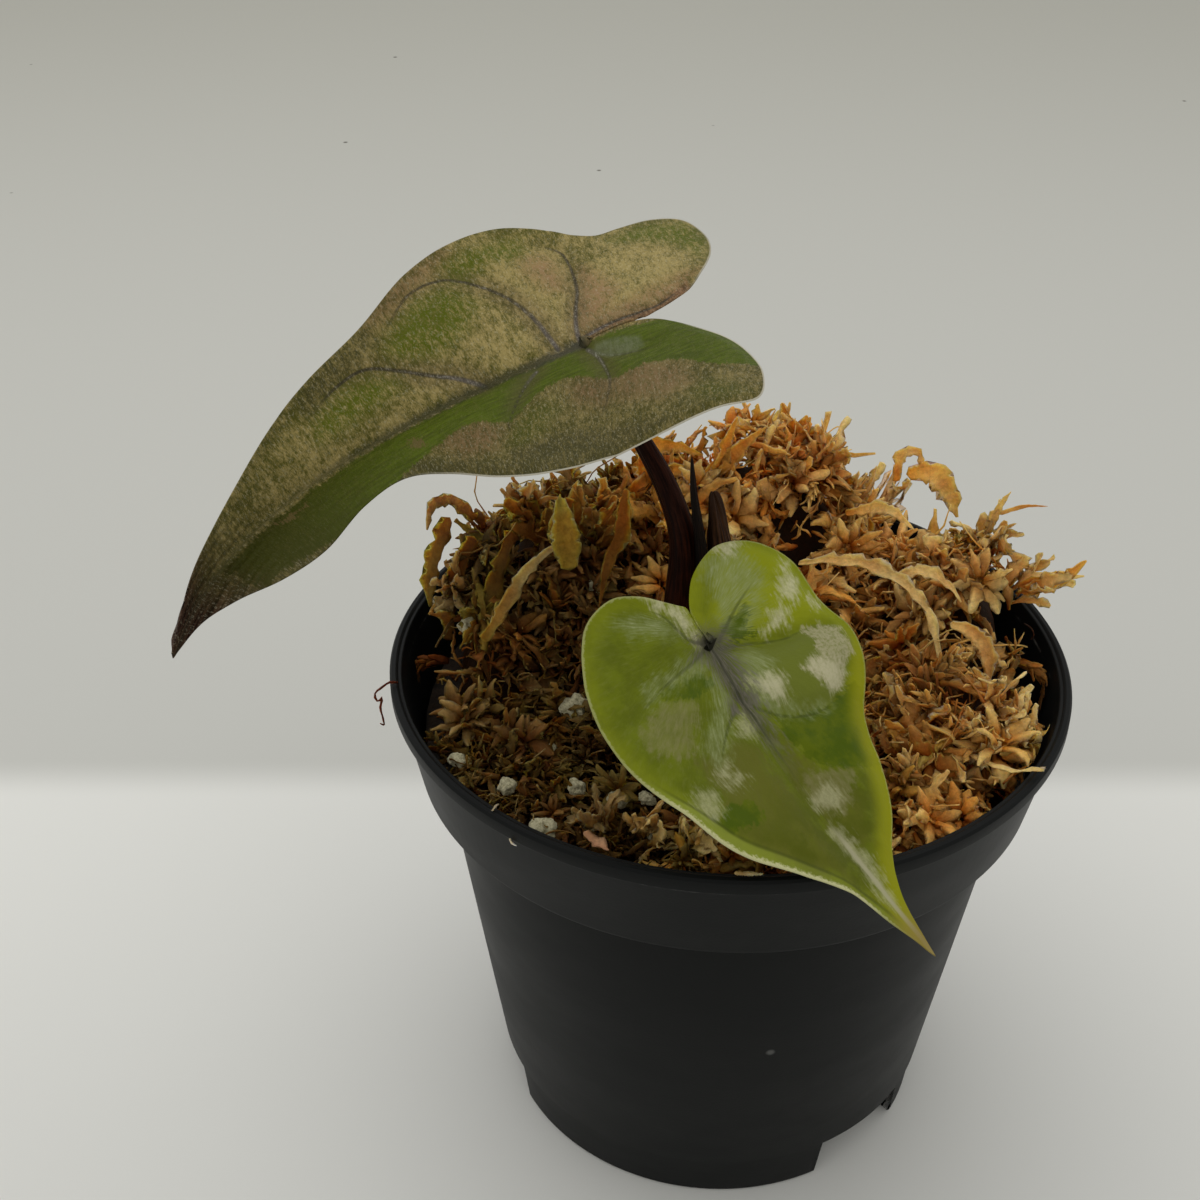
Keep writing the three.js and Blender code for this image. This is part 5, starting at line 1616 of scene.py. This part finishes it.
class Growth:
    """Draws places, headings and tones for the strands of one clump."""

    def __init__(self, clump, moss, seed):
        self.clump = clump
        self.random = np.random.default_rng(seed)
        # The clump's light factor scales its colours: partly its own lighter or darker moss, partly painted
        # light and shade.
        self.palette = np.array([moss.straw, moss.amber, moss.umber, moss.olive]) * clump.light

    def roots(self, count, sink_range):
        """Places spread evenly over the clump, sunk below its surface."""
        clump, random = self.clump, self.random
        bearing = random.uniform(clump.start - 0.07, clump.end + 0.07, count)
        outer = reach_on(bearing, clump.reach)
        distance = np.sqrt(random.uniform((STEM_HOLE_RADIUS - 5) ** 2, outer ** 2))
        x = STEM_CENTRE[0] + distance * np.cos(bearing)
        y = STEM_CENTRE[1] + distance * np.sin(bearing)
        sink = random.uniform(*sink_range, count)
        return x, y, sink, np.stack([x, y, moss_height(x, y) - sink], -1)

    def tones(self, x, y, sink):
        """Base and tip colours that change from patch to patch, with painted shade near the stem, and darker
        and warmer further down: the moss's own browner depths and painted shade.
        """
        random, count = self.random, len(x)
        spots = flat_points(x, y)
        weights = np.tile(np.array(self.clump.tones), (count, 1))
        for i in (STRAW, AMBER, UMBER, OLIVE):
            weights[:, i] *= np.exp(2.8 * ripple(spots, 0.085, 11 + 7 * i))
        weights /= weights.sum(1, keepdims=True)
        pick = (random.uniform(0, 1, (count, 1)) > np.cumsum(weights, 1)).sum(1).clip(0, 3)
        tone = self.palette[pick] * 0.65 + (weights @ self.palette) * 0.35
        # Painted shade: strands near the stem, under the leaves, are darker.
        inner = smooth(np.hypot(x - STEM_CENTRE[0], y - STEM_CENTRE[1]), 8, 30)
        glow = (np.exp(0.9 * ripple(spots, 0.11, 53)) * (0.43 + 0.57 * inner))[:, None]
        tone = tone * glow * random.uniform(0.75, 1.15, (count, 1))
        # Darker and warmer the deeper the root: partly the moss's own browner lower parts, partly painted
        # shade in the depths.
        tone = tone * np.exp(-np.outer(sink, (0.15, 0.26, 0.45)))
        base = tone * (0.62, 0.36, 0.12) * random.uniform(0.7, 1.1, (count, 1))
        tip = tone * random.uniform(0.8, 1.15, (count, 1))
        return base, tip + self.palette[STRAW] * random.uniform(0, 0.5, (count, 1))

    def headings(self, x, y, rise, droop):
        """Directions that lie along the surface or stand up from it, and where they bend."""
        random = self.random
        normal = moss_slope(x, y)
        turn = random.uniform(0, 2 * np.pi, len(x))
        level = unit(np.cross(normal, np.stack([np.cos(turn), np.sin(turn), 0.3 + 0 * turn], -1)))
        direction = unit(level + normal * (random.uniform(*rise, len(x)) * self.clump.lift)[:, None])
        down = random.uniform(*droop, len(x))[:, None]
        stray = unit(random.normal(0, 1, (len(x), 3)))
        bend = unit(level + 0.7 * stray - normal * down)
        return direction, bend, normal


CORE_STEPS = (16, 18)
CORE_DEPTH = 7.2
CORE_CRUMB = 2.4


def clump_core(heap, clump, depth_shade):
    """The body of a clump, under its fronds, coloured dark as painted shade of the moss's depths."""
    rings, spokes = CORE_STEPS
    bearings = np.linspace(clump.start - 0.02, clump.end + 0.02, spokes + 1)
    inner = STEM_HOLE_RADIUS - 3
    rows = []
    for share in np.linspace(0, 1, rings + 1):
        distance = inner + share * (reach_on(bearings, clump.reach - 1.5) - inner)
        x = STEM_CENTRE[0] + distance * np.cos(bearings)
        y = STEM_CENTRE[1] + distance * np.sin(bearings)
        crumb = ripple(flat_points(x, y), 0.3, 5)
        z = np.maximum(moss_height(x, y) - CORE_DEPTH + CORE_CRUMB * crumb, MOSS_FLOOR + 2)
        z = np.where(share > 0.97, z - 2, z)
        rows.append(np.stack([x, y, z], -1))
    upper = np.array(rows)
    lower = upper.copy()
    lower[..., 2] = MOSS_FLOOR
    count = (rings + 1) * (spokes + 1)
    index = np.arange(count).reshape(rings + 1, spokes + 1)
    a, b, c, d = index[:-1, :-1], index[:-1, 1:], index[1:, 1:], index[1:, :-1]
    top = np.stack([a, c, b, a, d, c], -1).reshape(-1, 3)
    bottom = top[:, ::-1] + count
    loop = np.concatenate([index[0], index[1:, -1], index[-1, -2::-1], index[-2:0:-1, 0]])
    after = np.roll(loop, -1)
    wall = np.stack([loop, after, after + count, loop, after + count, loop + count], -1).reshape(-1, 3)
    points = np.vstack([upper.reshape(-1, 3), lower.reshape(-1, 3)])
    heap.add(points, np.vstack([top, bottom, wall]), np.repeat(np.array(depth_shade)[None], len(points), 0))


# Each kind of growth: its function, how many per thousand square millimetres, how deep its roots lie, how it
# rises and droops, its length and half width, and its own settings
KINDS = [
    (ropes, 17, (0.5, 5.5), (0.0, 1.1), (-0.3, 1.4), (6, 12), (1.8, 3.0), {}),
    (heads, 17, (0.0, 2.5), (0, 1), (0, 1), (4, 7.5), (1, 1), {}),
    (shreds, 125, (0, 5), (0.2, 1.3), (-0.6, 1.4), (4, 9), (0.8, 1.9),
     dict(twist=1.3, wander=0.3, profile=(0.4, 0.45, 0.22), ragged=0.3, ruffle=0.55)),
    (shreds, 200, (-0.3, 3), (0.2, 1.5), (-0.6, 1.2), (2.2, 5.5), (0.16, 0.42),
     dict(rows=6, twist=1.0, wander=0.3, profile=(0.6, 0.4, 0.15), ragged=0.25)),
    (shreds, 40, (0, 3.5), (0.2, 1.1), (0.0, 1.5), (5, 13), (0.5, 1.3),
     dict(twist=1.6, wander=0.16, cup=(-1.6, 1.6), profile=(0.4, 0.5, 0.3), ragged=0.22,
          ruffle=0.4)),
    (shreds, 22, (-0.5, 2), (0.3, 1.3), (-0.5, 1.0), (5, 15), (0.1, 0.24), dict(wander=0.22, twist=2.0)),
]


def grow_clump(clump, moss, seed, ceiling):
    """All of one clump: its body coloured dark as painted shade, its branches, tufts, leaves, curls and
    threads, and its features.
    """
    growth = Growth(clump, moss, seed)
    random = growth.random
    heap = Heap()
    clump_core(heap, clump, moss.depth_shade)
    area = (clump.end - clump.start) / 2 * (reach_on((clump.start + clump.end) / 2, clump.reach) ** 2)
    for grow, number, depth, rise, droop, lengths, widths, settings in KINDS:
        count = int(area / 1000 * moss.density * number / clump.size ** 1.4)
        x, y, sink, roots = growth.roots(count, depth)
        direction, bend, normal = growth.headings(x, y, rise, droop)
        base, tip = growth.tones(x, y, sink)
        length = random.uniform(*lengths, count) * clump.size
        width = random.uniform(*widths, count) * clump.size
        if grow is heads:
            axis = unit(normal + 0.55 * random.normal(0, 1, normal.shape))
            heads(heap, random, roots, axis, length, base, tip)
        else:
            grow(heap, random, roots, direction, bend, length, width, base, tip, **settings)
    for feature in FEATURES.get(clump.name, ()):
        feature(heap, random, growth.palette)
    return heap.piece("fine_" + clump.name, ceiling)


# Strands that stand out, each through a few points about the pot's axis
SEAT_STEP = 0.4
SEAT_STEPS = 80
SEAT_GAP = 0.5


def seated(points):
    """Moves a strand away from the camera until its root meets the moss."""
    points = np.array(points, float)
    away = unit(points - CAMERA_PLACE)
    for _ in range(SEAT_STEPS):
        if points[0, 2] > moss_height(points[0, 0], points[0, 1]) + SEAT_GAP:
            points += SEAT_STEP * away
    return points


def strand(points, width, tone, tip_tone, facing=(0, -1, 0.6), rows=16, peak=0.4, cup=0.5, root=0.4, end=0.1,
           bright=1.0, ragged=0.16, ruffle=0.35, seat=False):
    """A single sheet through some points, its face turned towards the given direction."""
    def build(heap, random, palette):
        path = curve_through(seated(points) if seat else points, rows)[None]
        side = np.cross(unit(np.gradient(path, axis=1)), np.array(facing, float))
        t = np.linspace(0, 1, rows)
        widths = width * np.interp(t, (0, peak, 1), (root, 1, end))[None]
        widths = widths * random.uniform(0.9, 1.1, (1, rows))
        tones = blend(palette[[tone]] * (0.9, 0.75, 0.6), palette[[tip_tone]] * 1.1, rows) * bright
        sheets(heap, path, side, widths, np.array([cup]), 0.25, tones, random, ragged, ruffle)

    return build


def fan(root, axis, reach, count, spread, width, tone, tip_tone, bright=1.0):
    """A bundle of soft leaves that open from one root."""
    def build(heap, random, palette):
        roots = seated([root]) + random.normal(0, 0.9, (count, 3))
        direction = unit(np.array(axis, float) + spread * random.normal(0, 1, (count, 3)))
        bend = unit(direction + spread * 1.6 * random.normal(0, 1, (count, 3)))
        base = palette[[tone]] * (0.75, 0.55, 0.35) * random.uniform(0.7, 1.0, (count, 1)) * bright
        tip = palette[[tip_tone]] * random.uniform(0.9, 1.25, (count, 1)) * bright
        shreds(heap, random, roots, direction, bend, reach * random.uniform(0.6, 1.05, count),
               width * 0.9 * random.uniform(0.6, 1.2, count), base, tip, 10, twist=0.7, ragged=0.28,
               profile=(0.45, 0.6, 0.5), ruffle=0.45)

    return build


# Fibres that hang over the pot's rim or lie on it: their points, half width and colour
RIM_FIBRES = [
    ([(-50.6, -9, 84.3), (-51.6, -9.4, 84.7), (-53.2, -9.6, 83.6), (-54.1, -9.8, 82.6), (-53.6, -10.2, 81.6),
      (-52.9, -10.2, 82.4), (-53.3, -10.4, 80.6), (-52.7, -12, 79.2), (-52.5, -13.6, 79.8),
      (-52.8, -14.6, 80.8)], 0.2, (0.05, 0.018, 0.008)),
    ([(-2.2, -51, 84.15), (-0.4, -51.3, 84.3), (1.4, -51.2, 84.15)], 0.33, (0.5, 0.44, 0.24)),
    ([(-34.7, -38.5, 84.1), (-34.2, -37.9, 84.5), (-33.9, -37.2, 84.2)], 0.16, (0.6, 0.58, 0.5)),
    ([(-32.2, -41.8, 82), (-31.9, -41.9, 81.3), (-31.3, -42.1, 81)], 0.16, (0.6, 0.58, 0.5)),
    ([(46.8, 4, 86.3), (47.8, 4, 85.6), (48.6, 4, 84.2), (48.3, 4, 83.2)], 0.16, (0.02, 0.012, 0.008)),
]
RIM_SEED = 3


FEATURES = {
    "moss_back": [
        strand([(-0.5, 24, 98), (-0.2, 24, 103.5), (0.6, 24.2, 108), (1.9, 24, 112.3)], 1.5, AMBER, AMBER,
               root=0.5, peak=0.35),
        strand([(-0.4, 23.5, 99), (1, 23.8, 104.5), (3.4, 24, 107.6), (6.4, 24, 110.4)], 1.5, AMBER, AMBER,
               root=0.5, peak=0.5),
        strand([(-13, 14, 106), (-12.6, 14.5, 111.5), (-8.5, 15.5, 111.8), (-4, 16, 109.8)], 2.1, AMBER,
               AMBER, facing=(0, -1, 0.2), root=0.6, cup=0.9, seat=True),
        strand([(-11.5, 14, 104), (-9, 15, 107.6), (-6, 15.6, 107), (-3.6, 16, 105)], 1.5, AMBER, AMBER,
               facing=(0, -1, 0.2), root=0.6, cup=0.9, seat=True),
        fan((0, 23.5, 97), (0.1, 0, 1), 7, 7, 0.3, 1.6, UMBER, STRAW),
        fan((-9, 16, 96), (0, -0.3, 1), 10, 12, 0.35, 1.9, UMBER, AMBER),
    ],
    "moss_back_right": [
        fan((17, 30, 98), (0.05, 0, 1), 12.5, 12, 0.24, 1.6, AMBER, STRAW),
        fan((13, 28, 96), (-0.3, -0.2, 1), 10, 9, 0.35, 1.5, AMBER, AMBER),
        fan((22, 29, 93), (0.1, 0, 1), 11, 9, 0.22, 1.3, UMBER, STRAW),
        fan((29, 25, 94), (0.05, 0, 1), 11, 12, 0.26, 1.5, AMBER, STRAW),
        strand([(28.5, 25.5, 100), (29, 26, 104.6), (31.6, 26, 105), (32.6, 25.5, 101.5)], 0.9, AMBER, STRAW,
               root=0.7, end=0.4),
        strand([(30.5, 25, 101.5), (34, 24.6, 102), (37, 24.2, 98.6), (38.9, 24, 94)], 2.4, AMBER, STRAW,
               facing=(-0.4, -1, 0.5), root=0.5, peak=0.45),
        strand([(20, 20, 97), (26, 18, 99), (30, 15, 97)], 1.3, UMBER, STRAW),
    ],
    "moss_right": [
        fan((42, 15, 92), (0, 0, 1), 9.5, 12, 0.3, 1.5, UMBER, STRAW),
        fan((36, 12, 92), (-0.3, -0.3, 1), 7, 10, 0.4, 1.9, AMBER, STRAW),
        fan((46, 8, 90), (0.5, 0, 0.8), 8, 10, 0.35, 1.4, AMBER, STRAW),
        strand([(46, 6, 91.5), (49, 5, 93.2), (51.8, 4, 95), (54.4, 3, 98.6)], 1.7, AMBER, AMBER, root=0.7),
        strand([(47, 5, 92), (50.5, 4, 94.8), (54.5, 3, 95.8)], 1.2, AMBER, STRAW, root=0.8),
        strand([(42, 16, 96), (43.6, 16, 101), (44.6, 15, 103.8)], 0.9, STRAW, STRAW, root=0.8),
        strand([(43.6, 15, 100), (47, 14.5, 101.5), (50.5, 14, 101.8)], 0.35, STRAW, UMBER, root=0.9),
        strand([(11, 5.5, 96.5), (16, 3, 98.6), (22.5, 0, 98.9), (27, -2.6, 96.8), (29.4, -4.2, 94),
                (31.3, -8, 88.5)], 1.5, STRAW, STRAW, facing=(0, -0.4, 1), rows=22, root=0.35, end=0.3,
               cup=0.7),
        strand([(24.5, -1, 97.8), (29, 0.5, 98.2), (33, 0, 96.2), (35, -1.5, 94)], 1.3, STRAW, STRAW,
               facing=(0, -0.4, 1), root=0.5),
        strand([(33, -6, 93), (36.5, -7.5, 92), (38.5, -9, 88), (38.5, -10.5, 84)], 1.6, STRAW, STRAW),
    ],
    "moss_front": [
        strand([(33, -24, 82.5), (38.5, -29, 83.4), (41.5, -31, 85.2), (44.3, -31.8, 85.2)], 0.55, STRAW,
               STRAW, facing=(0, 0, 1), root=0.9, end=0.6),
        fan((34, -20, 80), (0.2, -0.2, 1), 7, 12, 0.45, 1.7, UMBER, STRAW),
        fan((38, -14, 82), (0.2, 0, 1), 8, 14, 0.5, 1.3, AMBER, STRAW, bright=1.25),
        fan((41, -19, 81), (0.3, -0.2, 0.8), 7, 14, 0.5, 1.2, AMBER, STRAW, bright=1.3),
        fan((27, -19, 80), (0, -0.2, 1), 7, 8, 0.45, 1.7, AMBER, AMBER),
    ],
    "moss_front_left": [
        fan((-13, -38, 79), (0, -0.2, 1), 6, 16, 0.6, 1.1, OLIVE, STRAW, bright=4.0),
        fan((-7, -40, 79), (0.2, -0.2, 1), 6, 16, 0.6, 1.1, OLIVE, STRAW, bright=4.0),
        fan((-20, -36, 79), (-0.2, 0, 1), 7, 10, 0.5, 1.0, UMBER, STRAW, bright=1.4),
    ],
    "moss_back_left": [
        strand([(-27, 9, 98), (-26.4, 8.6, 103), (-26, 8, 107.4)], 1.2, OLIVE, OLIVE, root=0.7, bright=1.8),
        strand([(-24.6, 3.5, 97.2), (-25.2, 5, 101), (-25.6, 6.5, 104), (-26, 8, 106.4)], 2.3, OLIVE, OLIVE,
               facing=(0.2, -1, 0.3), root=0.6, peak=0.45, end=0.35, bright=2.3, ragged=0.05,
               ruffle=0.12),
        strand([(-37, -10, 92.9), (-34.5, -5, 95), (-32, 0, 97), (-29, 3.6, 98.8), (-26.1, 6, 99.8)], 1.15,
               OLIVE, STRAW, facing=(0.3, -0.6, 1), root=0.7, peak=0.5, end=0.3, rows=18, cup=0.9,
               bright=1.7),
        fan((-31, 15, 101), (-0.2, -0.3, 1), 7, 14, 0.45, 1.1, UMBER, STRAW, bright=1.5),
        fan((-20, 11, 101), (0, -0.6, 0.8), 8, 12, 0.45, 1.3, UMBER, AMBER, bright=1.5),
        fan((-20, 14, 95), (0.1, -0.3, 1), 11, 12, 0.3, 2.0, UMBER, AMBER),
        fan((-28, 14, 95), (-0.2, -0.3, 1), 9, 12, 0.35, 2.0, UMBER, UMBER),
        strand([(-16, 10, 107), (-17, 8, 100), (-19, 6, 95), (-20, 3, 90)], 1.5, AMBER, UMBER,
               facing=(0.3, -1, 0.2)),
    ],
    "moss_left": [
        strand([(-40, 17, 98), (-43.5, 18, 100.6), (-46.5, 18, 99.8), (-47.6, 16.5, 96)], 1.3, UMBER, STRAW,
               facing=(0, -1, 0.3), root=0.8, peak=0.5),
        fan((-41, 17, 95), (-0.5, 0, 0.9), 7, 16, 0.45, 1.1, UMBER, AMBER, bright=1.6),
        fan((-42, 11, 88), (-0.4, -0.6, 0.5), 7, 14, 0.45, 1.2, UMBER, STRAW, bright=1.4),
        fan((-38, 6, 86), (-0.2, -0.7, 0.5), 7, 12, 0.45, 1.2, UMBER, OLIVE, bright=1.4),
        strand([(-44, 16, 98), (-46, 15.4, 93), (-47.3, 14.4, 88), (-47.6, 13.6, 83.5)], 1.7, UMBER, OLIVE,
               facing=(-0.6, -1, 0.2), root=0.8, peak=0.6, end=0.5),
        strand([(-40, 12, 97), (-42.5, 11, 92), (-44, 10, 86), (-44.5, 9, 80)], 1.5, UMBER, UMBER,
               facing=(-0.2, -1, 0.2), root=0.7, peak=0.5, end=0.5),
        strand([(-34, 12, 98), (-36, 8, 93), (-38, 5, 87), (-39, 3, 81)], 1.4, UMBER, OLIVE,
               facing=(0, -1, 0.3), root=0.7, peak=0.5, end=0.4),
        strand([(-43, 17, 97.5), (-39, 14.5, 95.8), (-34, 13, 96.4)], 0.7, OLIVE, OLIVE, root=0.5),
    ],
}


def wire_moss(w):
    """Moss: the strand's own tone, broken by fine cells and fibres."""
    place = w.place()
    cells = w.noise(place, 1300.0, detail=3.0, roughness=0.65)
    patches = w.noise(place, 190.0, detail=4.0, roughness=0.6)
    level = w.step(cells, 0.25, 0.75, 0.78, 1.2) * w.step(patches, 0.3, 0.7, 0.72, 1.2)
    colour = w.mix(1.0, w.attribute("tone", "Vector"), w.grey(level), "MULTIPLY")
    warmth = w.step(w.noise(place, 110.0, detail=2.0), 0.45, 0.65, 0.0, 0.45)
    return {"Base Color": w.mix(warmth, colour, (0.8, 0.42, 0.16), "MULTIPLY"),
            "Normal": w.bump(cells + patches, 0.00035, 0.6)}


class AROID_OT_moss(bpy.types.Operator):
    """Grows the seven clumps of moss"""
    bl_idname = "aroid.moss"
    bl_label = "Moss"

    def execute(self, context):
        moss = context.scene.aroid_moss
        material = surface("Dried moss", wire_moss, Roughness=0.65, Specular_IOR_Level=0.09,
                           Subsurface_Weight=0.45, Subsurface_Scale=0.0016,
                           Subsurface_Radius=(1.0, 0.6, 0.25))
        ceiling = Ceiling((LARGE_LEAF, SMALL_LEAF), LEAF_CLEARANCE)
        for i, clump in enumerate(CLUMPS):
            piece = grow_clump(clump, moss, moss.seed + i, ceiling)
            finish_piece(piece, material, "moss", clump.name)
        fibres = Heap()
        for points, width, colour in RIM_FIBRES:
            draw = strand(points, width, 0, 0, rows=24, peak=0.5, root=0.8, end=0.5, cup=0, ruffle=0)
            draw(fibres, np.random.default_rng(RIM_SEED), np.array([colour]))
        finish_piece(fibres.piece("rim_fibres"), material, "moss")
        return {"FINISHED"}


# Perlite

GRAIN_COUNT = 11
HUSK_SEED = 5


def grain_piece(name, centre, half, seed):
    deselect()
    bpy.ops.mesh.primitive_ico_sphere_add(subdivisions=4, radius=1, location=(0, 0, 0))
    piece = bpy.context.object
    piece.name = name
    for point in piece.data.vertices:
        outward = point.co.normalized()
        coarse = noise.noise(outward * 1.3 + Vector((seed, 0, 0)))
        fine = noise.noise(outward * 4.0 + Vector((0, seed, 0)))
        pits = max(0.0, noise.noise(outward * 7.0 + Vector((0, 0, seed))) - 0.15)
        size = 0.92 + 0.5 * coarse + 0.1 * fine - 0.3 * pits
        point.co = Vector(a * b for a, b in zip(outward * size, half)) + centre
    bpy.ops.object.shade_smooth()
    return piece


def wire_perlite(w):
    fine = w.noise(w.place(), 1900.0, detail=4.0, roughness=0.7)
    colour = w.mix(w.step(fine, 0.3, 0.6), (0.27, 0.24, 0.13), (0.62, 0.57, 0.37))
    return {"Base Color": colour, "Normal": w.bump(fine, 0.0004, 0.8)}


class AROID_OT_grains(bpy.types.Operator):
    """Makes the perlite grains and the husk flake"""
    bl_idname = "aroid.grains"
    bl_label = "Perlite and husk"

    def execute(self, context):
        perlite = surface("Perlite", wire_perlite, Roughness=0.9)
        for i in range(GRAIN_COUNT):
            node = f"perlite_{i + 1:02d}"
            low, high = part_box(node)
            piece = grain_piece("fine_" + node, (low + high) / 2, (high - low) / 2, 3.1 * i + 1)
            finish_piece(piece, perlite, "perlite", node)
        low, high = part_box("husk_flake")
        heap = Heap()
        flake = strand([(-21.9, -41.5, 82.8), (-20.3, -43.2, 82.4), (-18.8, -45.1, 82.9)], 1.3, 0, 0,
                       facing=(0.3, -0.2, 1), rows=10, peak=0.5, root=0.4, end=0.15)
        flake(heap, np.random.default_rng(HUSK_SEED), np.array([(0.5, 0.3, 0.17)]))
        finish_piece(heap.piece("fine_husk_flake"), surface("Husk", wire_moss, Roughness=0.6), "husk",
                     "husk_flake")
        return {"FINISHED"}


class AROID_PT_panel(bpy.types.Panel):
    """Lists the steps that dress the plant"""
    bl_idname = "AROID_PT_panel"
    bl_label = "Potted Aroid"
    bl_space_type = "VIEW_3D"
    bl_region_type = "UI"
    bl_category = "Aroid"

    def draw(self, context):
        for operator in OPERATORS:
            self.layout.operator(operator.bl_idname)
        for group in SETTINGS:
            settings = getattr(context.scene, group)
            for name in settings.bl_rna.properties.keys():
                if name not in ("rna_type", "name"):
                    self.layout.prop(settings, name)


OPERATORS = (AROID_OT_stage, AROID_OT_pot, AROID_OT_ground, AROID_OT_leaves, AROID_OT_stalks,
             AROID_OT_moss, AROID_OT_grains)
SETTINGS = {"aroid_pot": PotSettings, "aroid_leaf": LeafSettings, "aroid_moss": MossSettings,
            "aroid_stage": StageSettings}


def register():
    for cls in (*SETTINGS.values(), *OPERATORS, AROID_PT_panel):
        bpy.utils.register_class(cls)
    for name, group in SETTINGS.items():
        setattr(bpy.types.Scene, name, PointerProperty(type=group))


def unregister():
    for name in SETTINGS:
        delattr(bpy.types.Scene, name)
    for cls in (AROID_PT_panel, *reversed(OPERATORS), *SETTINGS.values()):
        bpy.utils.unregister_class(cls)


def main():
    register()
    bpy.ops.aroid.stage()
    bpy.ops.aroid.pot()
    bpy.ops.aroid.ground()
    bpy.ops.aroid.leaves()
    bpy.ops.aroid.stalks()
    bpy.ops.aroid.moss()
    bpy.ops.aroid.grains()
    deselect()


if __name__ == "__main__":
    main()
